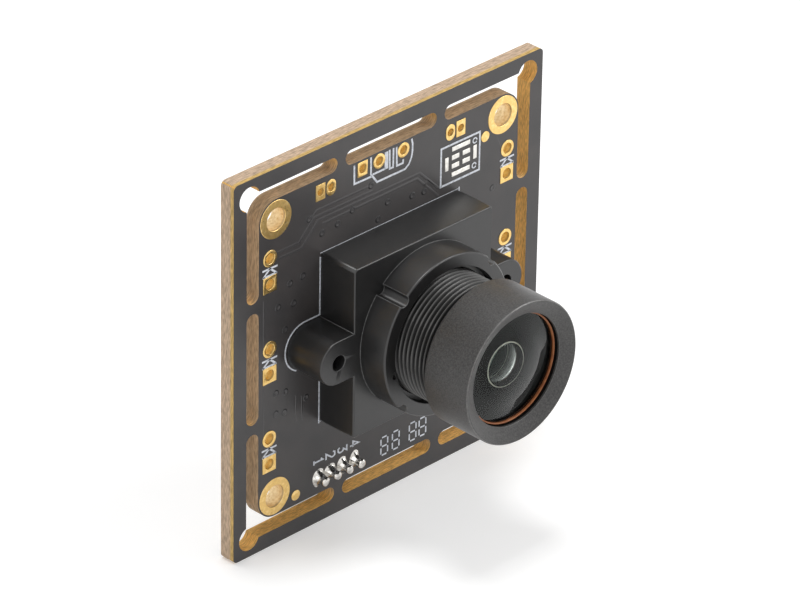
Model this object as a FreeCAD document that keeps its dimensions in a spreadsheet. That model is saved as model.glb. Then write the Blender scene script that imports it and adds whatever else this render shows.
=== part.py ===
import FreeCAD, Part
import math
import os
from types import SimpleNamespace

import Sketcher

# Camera module: a square board with a routed breakaway frame, a moulded lens holder screwed to
# its front face and a wide-angle lens screwed into the holder.
# Frame: X to the right seen from the front, Z up, the lens looks along -Y. The origin is the
# middle of the four mounting holes on the board's back face. "Height" is the distance in front
# of the board's front face, and "rise" is the distance behind its back face.

doc = FreeCAD.newDocument("camera_module")

SIZES = {
    # board, its routed slots and corner holes
    "board_side": 38.0,
    "board_thick": 1.6,
    "board_corner": 0.5,
    "core_side": 32.0,
    "core_corner": 2.0,
    "slot_width": 1.45,
    "tab_near": 5.6,
    "tab_width": 1.0,
    "corner_hole_pitch": 34.2,
    "corner_hole_radius": 1.2,
    # plated pads and holes
    "copper_thick": 0.05,
    "mount_pitch": 28.0,
    "mount_hole_radius": 1.1,
    "mount_ring_radius": 1.86,
    "led_column": 14.68,
    "led_pair_pitch": 9.1,
    "led_pad_pitch": 2.56,
    "led_pad_side": 1.62,
    "led_hole_radius": 0.52,
    "pair_place": 8.0,
    "pair_height": 14.66,
    "pair_pitch": 1.29,
    "pair_pad_width": 1.12,
    "pair_pad_length": 1.58,
    "pair_hole_radius": 0.38,
    "trio_height": 15.06,
    "trio_square_place": 3.53,
    "trio_round_place": 1.49,
    "trio_pad_width": 1.2,
    "trio_pad_length": 1.45,
    "trio_hole_radius": 0.43,
    "fiducial_radius": 0.52,
    "fiducial_right_x": 11.8,
    "fiducial_right_z": 12.6,
    "fiducial_left_x": -11.4,
    "fiducial_left_z": -15.0,
    "footprint_x": 8.74,
    "footprint_z": 11.56,
    "footprint_bar_length": 2.27,
    "footprint_bar_width": 0.43,
    "footprint_bar_pitch": 2.55,
    "footprint_side_length": 1.34,
    "footprint_side_pitch": 3.56,
    "footprint_pad_length": 0.93,
    "footprint_pad_width": 0.46,
    "footprint_pad_pitch_x": 1.36,
    "footprint_pad_pitch_z": 0.86,
    # lens holder
    "holder_side": 17.1,
    "holder_height": 4.3,
    "holder_corner": 0.35,
    "holder_bevel": 0.15,
    "ear_reach": 10.4,
    "ear_radius": 2.2,
    "boss_radius": 7.8,
    "boss_height": 3.05,
    "boss_bevel": 0.2,
    "groove_radius": 0.55,
    "cavity_side": 13.4,
    "cavity_depth": 2.6,
    "cavity_corner": 1.0,
    "filter_side": 8.4,
    "filter_thick": 0.4,
    "filter_clearance": 0.1,
    "light_opening_radius": 3.4,
    "seat_floor": 0.6,
    "counterbore_radius": 6.5,
    "counterbore_depth": 1.0,
    "rim_notch_x": -6.36,
    "rim_notch_z": -1.58,
    "rim_notch_radius": 0.42,
    # screws that hold the holder
    "screw_radius": 0.7,
    "screw_bite": 0.05,
    "screw_board_hole_radius": 0.95,
    "screw_head_radius": 1.75,
    "screw_head_height": 1.1,
    "screw_tip_gap": 1.0,
    "screw_recess_width": 0.45,
    "screw_recess_length": 2.0,
    "screw_recess_depth": 0.6,
    # sensor
    "sensor_width": 9.2,
    "sensor_length": 8.2,
    "sensor_thick": 1.0,
    "sensor_wall": 0.9,
    "sensor_recess": 0.55,
    "die_width": 6.2,
    "die_length": 5.2,
    "die_thick": 0.35,
    "cover_margin": 0.2,
    "cover_thick": 0.4,
    # lens barrel
    "thread_radius": 6.0,
    "thread_clearance": 0.05,
    "barrel_rear": 3.95,
    "thread_end": 10.6,
    "relief_radius": 5.6,
    "relief_width": 0.45,
    "head_radius": 6.85,
    "head_bevel": 0.25,
    "barrel_front": 16.5,
    "rim_bevel": 0.12,
    "rim_depth": 0.7,
    "glass_seat": 12.1,
    "lip_thick": 0.4,
    "lip_radius": 2.6,
    "barrel_bore_radius": 4.0,
    "glass_clearance": 0.03,
    # front glass and its seal
    "front_glass_radius": 5.32,
    "front_glass_edge": 3.0,
    "front_glass_sag": 0.9,
    "front_hollow_radius": 2.4,
    "front_hollow_depth": 1.5,
    "seal_width": 0.27,
    "seal_thick": 0.3,
    # inner glasses, from the front to the back
    "second_glass_thick": 1.5,
    "second_hollow_radius": 1.9,
    "second_hollow_depth": 0.8,
    "stop_thick": 0.2,
    "stop_hole_radius": 0.9,
    "third_glass_edge": 1.2,
    "third_bulge": 0.7,
    "spacer_thick": 1.4,
    "spacer_wall": 0.65,
    "fourth_glass_edge": 1.4,
    "fourth_front_bulge": 0.35,
    "retainer_thick": 1.2,
    "retainer_wall": 0.95,
    "bulge_margin": 0.1,
    # cable header and its pins
    "header_x": -6.35,
    "header_z": -14.15,
    "header_width": 7.5,
    "header_length": 3.5,
    "header_rise": 4.7,
    "header_floor": 1.2,
    "header_wall": 0.5,
    "header_key_width": 0.8,
    "header_key_pitch": 3.0,
    "header_key_depth": 2.2,
    "pin_pitch": 1.5,
    "pin_z": -14.35,
    "pin_side": 0.5,
    "pin_rise": 4.0,
    "pin_height": 1.05,
    "pin_bevel": 0.12,
    "joint_cone_radius": 0.7,
    "joint_cone_height": 0.9,
    "joint_tip_radius": 0.37,
    # chips on the back
    "chip_standoff": 0.1,
    "chip_bevel": 0.12,
    "lead_thick": 0.14,
    "lead_foot": 0.45,
    "controller_side": 7.0,
    "controller_rise": 1.4,
    "controller_span": 9.0,
    "controller_lead_pitch": 0.8,
    "controller_lead_width": 0.35,
    "flash_x": 3.4,
    "flash_z": -9.6,
    "flash_width": 4.9,
    "flash_length": 3.9,
    "flash_rise": 1.5,
    "flash_span": 6.0,
    "flash_lead_pitch": 1.27,
    "flash_lead_width": 0.41,
    "regulator_x": 9.6,
    "regulator_z": 8.4,
    "regulator_pitch": 4.2,
    "regulator_width": 2.9,
    "regulator_length": 1.6,
    "regulator_rise": 1.1,
    "regulator_span": 2.8,
    "regulator_lead_pitch": 0.95,
    "regulator_lead_width": 0.4,
    # crystal, inductor and tantalum capacitor
    "crystal_x": -7.6,
    "crystal_z": 7.0,
    "crystal_width": 3.2,
    "crystal_length": 2.5,
    "crystal_base": 0.4,
    "crystal_lid": 0.35,
    "crystal_margin": 0.2,
    "inductor_x": -4.0,
    "inductor_z": -8.6,
    "inductor_side": 4.0,
    "inductor_rise": 1.8,
    "inductor_corner": 0.9,
    "inductor_well_radius": 1.5,
    "inductor_well_depth": 0.3,
    "tantalum_x": 10.2,
    "tantalum_z": -8.8,
    "tantalum_width": 2.8,
    "tantalum_length": 3.5,
    "tantalum_rise": 1.9,
    "tantalum_tab_width": 2.2,
    "tantalum_tab_length": 0.8,
    # small two-ended chips
    "capacitor_length": 1.6,
    "capacitor_width": 0.8,
    "capacitor_rise": 0.8,
    "capacitor_cap": 0.35,
    "resistor_length": 1.0,
    "resistor_width": 0.5,
    "resistor_rise": 0.35,
    "resistor_cap": 0.22,
    "end_cap_skin": 0.02,
    # rows of small chips
    "side_column_x": 6.6,
    "side_column_pitch": 2.2,
    "capacitor_row_pitch": 2.6,
    "capacitor_low_row_z": 6.4,
    "capacitor_high_row_z": 11.6,
    "regulator_capacitor_drop": 3.4,
    "resistor_row_pitch": 2.4,
    "resistor_low_row_z": -5.7,
    "resistor_high_row_z": 9.2,
    "crystal_resistor_rise": 2.6,
}

sheet = doc.addObject("Spreadsheet::Sheet", "Sizes")
for row, (name, number) in enumerate(SIZES.items(), start=1):
    sheet.set(f"A{row}", name)
    sheet.set(f"B{row}", str(number))
    sheet.setAlias(f"B{row}", name)
doc.recompute()


class Size:
    """A length: its value, and the rule by which it follows the driving sizes."""

    def __init__(self, value, text):
        self.value = value
        self.text = text

    def __add__(self, other):
        other = sized(other)
        return Size(self.value + other.value, f"({self.text} + {other.text})")

    def __sub__(self, other):
        other = sized(other)
        return Size(self.value - other.value, f"({self.text} - {other.text})")

    def __mul__(self, factor):
        return Size(self.value * factor, f"({self.text} * {factor})")

    def __truediv__(self, divisor):
        return Size(self.value / divisor, f"({self.text} / {divisor})")

    def __neg__(self):
        return Size(-self.value, f"(-1 * {self.text})")


def sized(number):
    """A bare number as a Size, and a Size as it is."""
    return number if isinstance(number, Size) else Size(number, str(number))


size = SimpleNamespace(**{name: Size(number, f"Sizes.{name}") for name, number in SIZES.items()})


def bind(thing, property_name, length):
    thing.setExpression(property_name, sized(length).text)


# Places along the lens axis that several pieces share

core_half = size.core_side / 2
slot_outer = core_half + size.slot_width
filter_seat = size.cavity_depth + size.filter_thick + size.filter_clearance
bore_floor = filter_seat + size.seat_floor
boss_front = size.holder_height + size.boss_height
lip_rear = size.glass_seat - size.lip_thick
second_rear = lip_rear - size.second_glass_thick
stop_rear = second_rear - size.stop_thick
third_rear = stop_rear - size.third_glass_edge
spacer_rear = third_rear - size.spacer_thick
fourth_rear = spacer_rear - size.fourth_glass_edge
inner_glass_radius = size.barrel_bore_radius - size.glass_clearance


def depth_at(height):
    """The Y of a height in front of the board, as a distance forward of the back face."""
    return size.board_thick + height


def new_body(label):
    body = doc.addObject("PartDesign::Body", label)
    body.Label = label
    body.AllowCompound = True
    return body


def own_feature(body, role):
    """The body's own origin plane or axis with that role."""
    return [feature for feature in body.Origin.OriginFeatures if feature.Role == role][0]


def face_sketch(body, name, forward=0.0):
    """A sketch seen from the front, that far forward of the board's back face."""
    sketch = body.newObject("Sketcher::SketchObject", f"{body.Label}_{name}")
    sketch.AttachmentSupport = [(own_feature(body, "XZ_Plane"), "")]
    sketch.MapMode = "FlatFace"
    bind(sketch, "AttachmentOffset.Base.z", forward)
    return sketch


def section_sketch(body, name, role="XY_Plane", across=0.0):
    """A sketch in the body's XY plane, or in its YZ plane, that far along its normal."""
    sketch = body.newObject("Sketcher::SketchObject", f"{body.Label}_{name}")
    sketch.AttachmentSupport = [(own_feature(body, role), "")]
    sketch.MapMode = "FlatFace"
    bind(sketch, "AttachmentOffset.Base.z", across)
    return sketch


def pin_coordinate(sketch, kind, axis, geometry, point, coordinate):
    """Hold one coordinate of a point at a size, or on the axis where it is zero."""
    if not isinstance(coordinate, Size) and coordinate == 0:
        sketch.addConstraint(Sketcher.Constraint("PointOnObject", geometry, point, axis))
        return
    length = sized(coordinate)
    index = sketch.addConstraint(
        Sketcher.Constraint(kind, -1, 1, geometry, point, length.value))
    sketch.setExpression(f"Constraints[{index}]", length.text)


def pin_point(sketch, geometry, point, across, up):
    pin_coordinate(sketch, "DistanceX", -2, geometry, point, across)
    pin_coordinate(sketch, "DistanceY", -1, geometry, point, up)


def circle(sketch, across, up, radius):
    centre = FreeCAD.Vector(sized(across).value, sized(up).value, 0)
    geometry = sketch.addGeometry(Part.Circle(centre, FreeCAD.Vector(0, 0, 1), radius.value))
    pin_point(sketch, geometry, 3, across, up)
    index = sketch.addConstraint(Sketcher.Constraint("Radius", geometry, radius.value))
    sketch.setExpression(f"Constraints[{index}]", radius.text)


def arc_between(sketch, start, end, centre, turn):
    """An arc from start to end, turn 1 for counterclockwise. Returns its own start and end ids."""
    first, last = (start, end) if turn > 0 else (end, start)
    angles = [math.atan2(point.y - centre.y, point.x - centre.x) for point in (first, last)]
    if angles[1] <= angles[0]:
        angles[1] += 2 * math.pi
    whole = Part.Circle(centre, FreeCAD.Vector(0, 0, 1), (start - centre).Length)
    geometry = sketch.addGeometry(Part.ArcOfCircle(whole, angles[0], angles[1]))
    return (geometry, 1, 2) if turn > 0 else (geometry, 2, 1)


def outline(sketch, steps):
    """A closed outline. Each step is the next point, (across, up), reached by a straight line,
    or (across, up, centre across, centre up, turn), reached by an arc about that centre."""
    points = [FreeCAD.Vector(sized(step[0]).value, sized(step[1]).value, 0) for step in steps]
    edges = []
    for number, step in enumerate(steps):
        start = points[number - 1]
        end = points[number]
        if len(step) == 2:
            edges.append((sketch.addGeometry(Part.LineSegment(start, end)), 1, 2))
            continue
        centre = FreeCAD.Vector(sized(step[2]).value, sized(step[3]).value, 0)
        edges.append(arc_between(sketch, start, end, centre, step[4]))
    for number, (geometry, first, last) in enumerate(edges):
        before = edges[number - 1]
        sketch.addConstraint(
            Sketcher.Constraint("Coincident", before[0], before[2], geometry, first))
        pin_point(sketch, geometry, last, steps[number][0], steps[number][1])
    for number, step in enumerate(steps):
        if len(step) == 2:
            continue
        geometry = edges[number][0]
        chord = points[number] - points[number - 1]
        if abs(chord.x) > abs(chord.y):
            pin_coordinate(sketch, "DistanceY", -1, geometry, 3, step[3])
        else:
            pin_coordinate(sketch, "DistanceX", -2, geometry, 3, step[2])


def rectangle(sketch, across, up, width, length):
    """A rectangle about its middle."""
    left = sized(across) - width / 2
    right = sized(across) + width / 2
    low = sized(up) - length / 2
    high = sized(up) + length / 2
    outline(sketch, [(right, low), (right, high), (left, high), (left, low)])


def oval(sketch, across, up, width, length):
    """An upright slot shape about its middle, with full round ends."""
    left = sized(across) - width / 2
    right = sized(across) + width / 2
    low = sized(up) - (length - width) / 2
    high = sized(up) + (length - width) / 2
    outline(sketch, [
        (right, low, across, low, 1),
        (right, high),
        (left, high, across, high, 1),
        (left, low),
    ])


def rounded_rectangle(sketch, width, length, radius):
    """A rectangle about the lens axis with round corners."""
    right = width / 2
    high = length / 2
    inner_right = right - radius
    inner_high = high - radius
    outline(sketch, [
        (right, -inner_high, inner_right, -inner_high, 1),
        (right, inner_high),
        (inner_right, high, inner_right, inner_high, 1),
        (-inner_right, high),
        (-right, inner_high, -inner_right, inner_high, 1),
        (-right, -inner_high),
        (-inner_right, -high, -inner_right, -inner_high, 1),
        (inner_right, -high),
    ])


def pad(body, sketch, length, backward=False):
    """Material from the sketch, forward along -Y, or backward along +Y."""
    feature = body.newObject("PartDesign::Pad", f"{sketch.Name}_pad")
    feature.Profile = sketch
    feature.Reversed = backward
    bind(feature, "Length", length)
    return feature


def pocket(body, sketch, length=None, forward=False):
    """A cut from the sketch backward along +Y, or forward along -Y, or through everything."""
    feature = body.newObject("PartDesign::Pocket", f"{sketch.Name}_cut")
    feature.Profile = sketch
    feature.Reversed = forward
    if length is None:
        feature.Type = "ThroughAll"
        feature.Midplane = True
    else:
        bind(feature, "Length", length)
    return feature


def four_times(body, feature):
    """The feature repeated in the four quarters about the lens axis."""
    pattern = body.newObject("PartDesign::PolarPattern", f"{feature.Name}_quarters")
    pattern.Originals = [feature]
    pattern.Axis = (own_feature(body, "Y_Axis"), [""])
    pattern.Angle = 360
    pattern.Occurrences = 4
    body.Tip = pattern
    return pattern


def turned(label, steps):
    """A piece turned about the lens axis. Each step is (radius, height), or an arc's five."""
    body = new_body(label)
    sketch = section_sketch(body, "section")
    turned_steps = []
    for step in steps:
        flat = [step[0], -depth_at(step[1])]
        if len(step) == 5:
            flat += [step[2], -depth_at(step[3]), step[4]]
        turned_steps.append(tuple(flat))
    outline(sketch, turned_steps)
    revolution = body.newObject("PartDesign::Revolution", f"{label}_turning")
    revolution.Profile = sketch
    revolution.ReferenceAxis = (sketch, ["V_Axis"])
    revolution.Angle = 360
    return body


def bulge_centre(edge_radius, edge_height, rise):
    """Height of the centre of the sphere that rises that much over its edge, or falls if less
    than nothing. The radius comes from the chord and the rise."""
    sphere = Size(
        (edge_radius.value ** 2 + rise.value ** 2) / (2 * rise.value),
        f"(({edge_radius.text} * {edge_radius.text} + {rise.text} * {rise.text}) / (2 * {rise.text}))")
    return edge_height + rise - sphere


def bevel_edges(body, feature, kind, amount, wanted):
    """A fillet or chamfer on the feature's edges that pass the test."""
    doc.recompute()
    names = []
    for number, edge in enumerate(feature.Shape.Edges, start=1):
        if wanted(edge):
            names.append(f"Edge{number}")
    finish = body.newObject(f"PartDesign::{kind}", f"{feature.Name}_{kind.lower()}")
    finish.Base = (feature, names)
    bind(finish, "Radius" if kind == "Fillet" else "Size", amount)
    return finish


def lies_at(edge, forward):
    """Whether the whole edge lies in the plane that far forward of the back face."""
    box = edge.BoundBox
    return abs(box.YMin + forward.value) < 1e-6 and abs(box.YMax + forward.value) < 1e-6


def runs_along_axis(edge):
    box = edge.BoundBox
    return box.YLength > 1e-6 and box.XLength < 1e-6 and box.ZLength < 1e-6


# Circuit board

LED_ROWS = (-1, 0, 1)
SIDES = (-1, 1)


def mount_places():
    half = size.mount_pitch / 2
    return [(half * across, half * up) for across in SIDES for up in SIDES]


def led_places(upper):
    """The round pad of each pair is the upper one, the square pad the lower one."""
    shift = size.led_pad_pitch / 2 if upper else -(size.led_pad_pitch / 2)
    return [
        (size.led_column * side, size.led_pair_pitch * row + shift)
        for side in SIDES for row in LED_ROWS
    ]


def pair_places(outer):
    """The square pad of each pair is the outer one, the oval pad the inner one."""
    shift = size.pair_pitch / 2 if outer else -(size.pair_pitch / 2)
    return [((size.pair_place + shift) * side, size.pair_height) for side in SIDES]


TRIO_SQUARE = (-size.trio_square_place, size.trio_height)
TRIO_ROUNDS = [(size.trio_round_place * side, size.trio_height) for side in SIDES]
PIN_PLACES = [
    (size.header_x + size.pin_pitch * (number - 1.5), size.pin_z)
    for number in range(4)
]
SCREW_PLACES = [(size.ear_reach * side, 0.0) for side in SIDES]


def mount_outlines(sketch):
    for across, up in mount_places():
        circle(sketch, across, up, size.mount_ring_radius)


def led_outlines(sketch):
    for across, up in led_places(True):
        circle(sketch, across, up, size.led_pad_side / 2)
    for across, up in led_places(False):
        rectangle(sketch, across, up, size.led_pad_side, size.led_pad_side)


def pair_outlines(sketch):
    for across, up in pair_places(True):
        rectangle(sketch, across, up, size.pair_pad_width, size.pair_pad_length)
    for across, up in pair_places(False):
        oval(sketch, across, up, size.pair_pad_width, size.pair_pad_length)


def trio_outlines(sketch):
    across, up = TRIO_SQUARE
    rectangle(sketch, across, up, size.trio_pad_width, size.trio_pad_length)
    for across, up in TRIO_ROUNDS:
        circle(sketch, across, up, size.trio_pad_length / 2)


def circuit_board():
    body = new_body("circuit_board")
    sketch = face_sketch(body, "outline")
    rectangle(sketch, 0.0, 0.0, size.board_side, size.board_side)
    blank = pad(body, sketch, size.board_thick)
    bevel_edges(body, blank, "Fillet", size.board_corner, runs_along_axis)

    half_slot = size.slot_width / 2
    slot_middle = core_half + half_slot
    end = size.tab_near + size.tab_width + half_slot
    corner = core_half - size.core_corner
    sketch = face_sketch(body, "corner_slot")
    outline(sketch, [
        (slot_outer, end),
        (core_half, end, slot_middle, end, -1),
        (core_half, corner),
        (corner, core_half, corner, corner, 1),
        (end, core_half),
        (end, slot_outer, end, slot_middle, -1),
        (slot_outer, slot_outer),
    ])
    four_times(body, pocket(body, sketch))

    end = size.tab_near - half_slot
    sketch = face_sketch(body, "side_slot")
    outline(sketch, [
        (end, slot_outer, end, slot_middle, 1),
        (-end, slot_outer),
        (-end, core_half, -end, slot_middle, 1),
        (end, core_half),
    ])
    four_times(body, pocket(body, sketch))

    sketch = face_sketch(body, "corner_hole")
    place = size.corner_hole_pitch / 2
    circle(sketch, place, place, size.corner_hole_radius)
    four_times(body, pocket(body, sketch))

    sketch = face_sketch(body, "openings")
    for draw_outlines in (mount_outlines, led_outlines, pair_outlines, trio_outlines):
        draw_outlines(sketch)
    for across, up in PIN_PLACES:
        rectangle(sketch, across, up, size.pin_side, size.pin_side)
    for across, up in SCREW_PLACES:
        circle(sketch, across, up, size.screw_board_hole_radius)
    pocket(body, sketch)
    return body


# Plated pads: each is one sleeve through the board, with its pad proud of both faces and its
# hole down the middle

def plated_pads(label, draw_outlines, places, hole_radius):
    body = new_body(label)
    sleeves = face_sketch(body, "sleeves", -size.copper_thick)
    draw_outlines(sleeves)
    pad(body, sleeves, size.board_thick + size.copper_thick * 2)
    holes = face_sketch(body, "holes")
    for across, up in places:
        circle(holes, across, up, hole_radius)
    pocket(body, holes)
    return body


def mounting_rings():
    return plated_pads("mounting_rings", mount_outlines, mount_places(), size.mount_hole_radius)


def led_pads():
    places = led_places(True) + led_places(False)
    return plated_pads("led_pads", led_outlines, places, size.led_hole_radius)


def two_pin_pads():
    places = pair_places(True) + pair_places(False)
    return plated_pads("two_pin_pads", pair_outlines, places, size.pair_hole_radius)


def three_pin_pads():
    places = [TRIO_SQUARE] + TRIO_ROUNDS
    return plated_pads("three_pin_pads", trio_outlines, places, size.trio_hole_radius)


def fiducial_dots():
    body = new_body("fiducial_dots")
    sketch = face_sketch(body, "dots", size.board_thick)
    circle(sketch, size.fiducial_right_x, size.fiducial_right_z, size.fiducial_radius)
    circle(sketch, size.fiducial_left_x, size.fiducial_left_z, size.fiducial_radius)
    pad(body, sketch, size.copper_thick)
    return body


def footprint_pads():
    """Bare tinned pads of an unfilled place: bars above, below and at the sides, and four pads
    in the middle."""
    body = new_body("footprint_pads")
    sketch = face_sketch(body, "pads", size.board_thick)
    for side in SIDES:
        up = size.footprint_z + size.footprint_bar_pitch * side / 2
        rectangle(sketch, size.footprint_x, up, size.footprint_bar_length, size.footprint_bar_width)
        across = size.footprint_x + size.footprint_side_pitch * side / 2
        rectangle(
            sketch, across, size.footprint_z, size.footprint_bar_width, size.footprint_side_length)
        for upper in SIDES:
            across = size.footprint_x + size.footprint_pad_pitch_x * side / 2
            up = size.footprint_z + size.footprint_pad_pitch_z * upper / 2
            rectangle(sketch, across, up, size.footprint_pad_length, size.footprint_pad_width)
    pad(body, sketch, size.copper_thick)
    return body


# Lens holder

def lens_holder():
    body = new_body("lens_holder")
    half = size.holder_side / 2
    reach = size.ear_reach
    ear = size.ear_radius
    sketch = face_sketch(body, "base", size.board_thick)
    outline(sketch, [
        (half, -half),
        (half, -ear),
        (reach, -ear),
        (reach, ear, reach, 0, 1),
        (half, ear),
        (half, half),
        (-half, half),
        (-half, ear),
        (-reach, ear),
        (-reach, -ear, -reach, 0, 1),
        (-half, -ear),
        (-half, -half),
    ])
    base = pad(body, sketch, size.holder_height)

    def is_base_corner(edge):
        reaches = abs(abs(edge.BoundBox.XMin) - half.value) < 1e-6
        return reaches and abs(abs(edge.BoundBox.ZMin) - half.value) < 1e-6 and runs_along_axis(edge)

    rounded = bevel_edges(body, base, "Fillet", size.holder_corner, is_base_corner)
    bevel_edges(
        body, rounded, "Chamfer", size.holder_bevel,
        lambda edge: lies_at(edge, depth_at(size.holder_height)))

    sketch = face_sketch(body, "boss", depth_at(size.holder_height))
    circle(sketch, 0, 0, size.boss_radius)
    boss = pad(body, sketch, size.boss_height)
    bevel_edges(
        body, boss, "Chamfer", size.boss_bevel, lambda edge: lies_at(edge, depth_at(boss_front)))

    diagonal = size.boss_radius * math.sqrt(0.5)
    sketch = face_sketch(body, "grip_groove", depth_at(size.holder_height))
    circle(sketch, diagonal, diagonal, size.groove_radius)
    four_times(body, pocket(body, sketch, size.boss_height, forward=True))

    sketch = face_sketch(body, "cavity", size.board_thick)
    rounded_rectangle(sketch, size.cavity_side, size.cavity_side, size.cavity_corner)
    pocket(body, sketch, size.cavity_depth, forward=True)

    seat_side = size.filter_side + size.filter_clearance * 2
    sketch = face_sketch(body, "filter_seat", depth_at(size.cavity_depth))
    rectangle(sketch, 0.0, 0.0, seat_side, seat_side)
    pocket(body, sketch, filter_seat - size.cavity_depth, forward=True)

    sketch = face_sketch(body, "light_opening", depth_at(filter_seat))
    circle(sketch, 0, 0, size.light_opening_radius)
    pocket(body, sketch, size.seat_floor, forward=True)

    sketch = face_sketch(body, "threaded_bore", depth_at(bore_floor))
    circle(sketch, 0, 0, size.thread_radius + size.thread_clearance)
    pocket(body, sketch, boss_front - bore_floor, forward=True)

    sketch = face_sketch(body, "counterbore", depth_at(boss_front))
    circle(sketch, 0, 0, size.counterbore_radius)
    pocket(body, sketch, size.counterbore_depth)

    sketch = face_sketch(body, "rim_notch", depth_at(boss_front))
    circle(sketch, size.rim_notch_x, size.rim_notch_z, size.rim_notch_radius)
    pocket(body, sketch, size.counterbore_depth)

    sketch = face_sketch(body, "ear_holes", size.board_thick)
    for across, up in SCREW_PLACES:
        circle(sketch, across, up, size.screw_radius + size.screw_bite)
    pocket(body, sketch, size.holder_height, forward=True)
    return body


def holder_screw(side, name):
    """One screw: a round head on the board's back face, and a plain shank up into the ear."""
    body = new_body(name)
    sketch = section_sketch(body, "section")
    tip = -(depth_at(size.holder_height) - size.screw_tip_gap)
    outline(sketch, [
        (0, tip),
        (size.screw_radius, tip),
        (size.screw_radius, 0),
        (size.screw_head_radius, 0),
        (size.screw_head_radius, size.screw_head_height / 2),
        (size.screw_head_radius - size.screw_head_height / 2, size.screw_head_height),
        (0, size.screw_head_height),
    ])
    turning = body.newObject("PartDesign::Revolution", f"{name}_turning")
    turning.Profile = sketch
    turning.ReferenceAxis = (sketch, ["V_Axis"])
    turning.Angle = 360
    half_width = size.screw_recess_width / 2
    half_length = size.screw_recess_length / 2
    sketch = face_sketch(body, "recess", -size.screw_head_height)
    outline(sketch, [
        (half_length, -half_width), (half_length, half_width),
        (half_width, half_width), (half_width, half_length),
        (-half_width, half_length), (-half_width, half_width),
        (-half_length, half_width), (-half_length, -half_width),
        (-half_width, -half_width), (-half_width, -half_length),
        (half_width, -half_length), (half_width, -half_width),
    ])
    pocket(body, sketch, size.screw_recess_depth, forward=True)
    bind(body, "Placement.Base.x", size.ear_reach * side)
    return body


def grouped(label, pieces):
    """Like pieces in one node, each still a solid of its own."""
    group = doc.addObject("Part::Compound", label)
    group.Label = label
    group.Links = pieces
    return group


# Sensor, its cover and the filter over it

def block(name, across, up, forward, width, length, thick):
    """A box about (across, up) whose back is that far forward of the board's back face."""
    box = doc.addObject("Part::Box", name)
    bind(box, "Length", width)
    bind(box, "Width", thick)
    bind(box, "Height", length)
    bind(box, "Placement.Base.x", sized(across) - sized(width) / 2)
    bind(box, "Placement.Base.y", -(sized(forward) + thick))
    bind(box, "Placement.Base.z", sized(up) - sized(length) / 2)
    return box


def image_sensor():
    package = block(
        "sensor_body", 0.0, 0.0, size.board_thick,
        size.sensor_width, size.sensor_length, size.sensor_thick)
    recess = block(
        "sensor_recess", 0.0, 0.0, depth_at(size.sensor_thick - size.sensor_recess),
        size.sensor_width - size.sensor_wall * 2, size.sensor_length - size.sensor_wall * 2,
        size.sensor_recess)
    package_with_recess = doc.addObject("Part::Cut", "image_sensor")
    package_with_recess.Label = "image_sensor"
    package_with_recess.Base = package
    package_with_recess.Tool = recess
    return package_with_recess


def sensor_die():
    floor = size.sensor_thick - size.sensor_recess
    return block(
        "sensor_die", 0.0, 0.0, depth_at(floor), size.die_width, size.die_length, size.die_thick)


def sensor_glass():
    return block(
        "sensor_glass", 0.0, 0.0, depth_at(size.sensor_thick),
        size.sensor_width - size.cover_margin * 2, size.sensor_length - size.cover_margin * 2,
        size.cover_thick)


def infrared_filter():
    return block(
        "infrared_filter", 0.0, 0.0, depth_at(filter_seat - size.filter_thick),
        size.filter_side, size.filter_side, size.filter_thick)


# Lens: barrel, seal and glasses

def lens_barrel():
    seat_radius = size.front_glass_radius + size.glass_clearance
    rim_edge = size.barrel_front - size.rim_depth
    head_back = size.thread_end + size.relief_width
    bore = size.barrel_bore_radius
    return turned("lens_barrel", [
        (size.thread_radius, size.barrel_rear),
        (size.thread_radius, size.thread_end),
        (size.relief_radius, size.thread_end),
        (size.relief_radius, head_back),
        (size.head_radius - size.head_bevel, head_back),
        (size.head_radius, head_back + size.head_bevel),
        (size.head_radius, size.barrel_front - size.rim_bevel),
        (size.head_radius - size.rim_bevel, size.barrel_front),
        (seat_radius, rim_edge),
        (seat_radius, size.glass_seat),
        (size.lip_radius, size.glass_seat),
        (size.lip_radius, lip_rear),
        (bore, lip_rear),
        (bore, size.barrel_rear),
    ])


def front_lens():
    """A deep meniscus: gently domed in front, with a round hollow behind."""
    edge_front = size.glass_seat + size.front_glass_edge
    dome_radius = size.front_glass_radius - size.seal_width
    dome_centre = bulge_centre(dome_radius, edge_front, size.front_glass_sag)
    hollow_centre = bulge_centre(size.front_hollow_radius, size.glass_seat, size.front_hollow_depth)
    return turned("front_lens", [
        (0, size.glass_seat + size.front_hollow_depth),
        (size.front_hollow_radius, size.glass_seat, 0, hollow_centre, 1),
        (size.front_glass_radius, size.glass_seat),
        (size.front_glass_radius, edge_front),
        (dome_radius, edge_front),
        (0, edge_front + size.front_glass_sag, 0, dome_centre, -1),
    ])


def lens_seal():
    edge_front = size.glass_seat + size.front_glass_edge
    return turned("lens_seal", [
        (size.front_glass_radius - size.seal_width, edge_front),
        (size.front_glass_radius, edge_front),
        (size.front_glass_radius, edge_front + size.seal_thick),
        (size.front_glass_radius - size.seal_width, edge_front + size.seal_thick),
    ])


def second_lens():
    """Flat in front, where it seats against the barrel's inner lip, and hollow behind."""
    hollow_centre = bulge_centre(size.second_hollow_radius, second_rear, size.second_hollow_depth)
    return turned("second_lens", [
        (0, second_rear + size.second_hollow_depth),
        (size.second_hollow_radius, second_rear, 0, hollow_centre, 1),
        (inner_glass_radius, second_rear),
        (inner_glass_radius, lip_rear),
        (0, lip_rear),
    ])


def aperture_stop():
    return turned("aperture_stop", [
        (size.stop_hole_radius, stop_rear),
        (inner_glass_radius, stop_rear),
        (inner_glass_radius, second_rear),
        (size.stop_hole_radius, second_rear),
    ])


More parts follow.
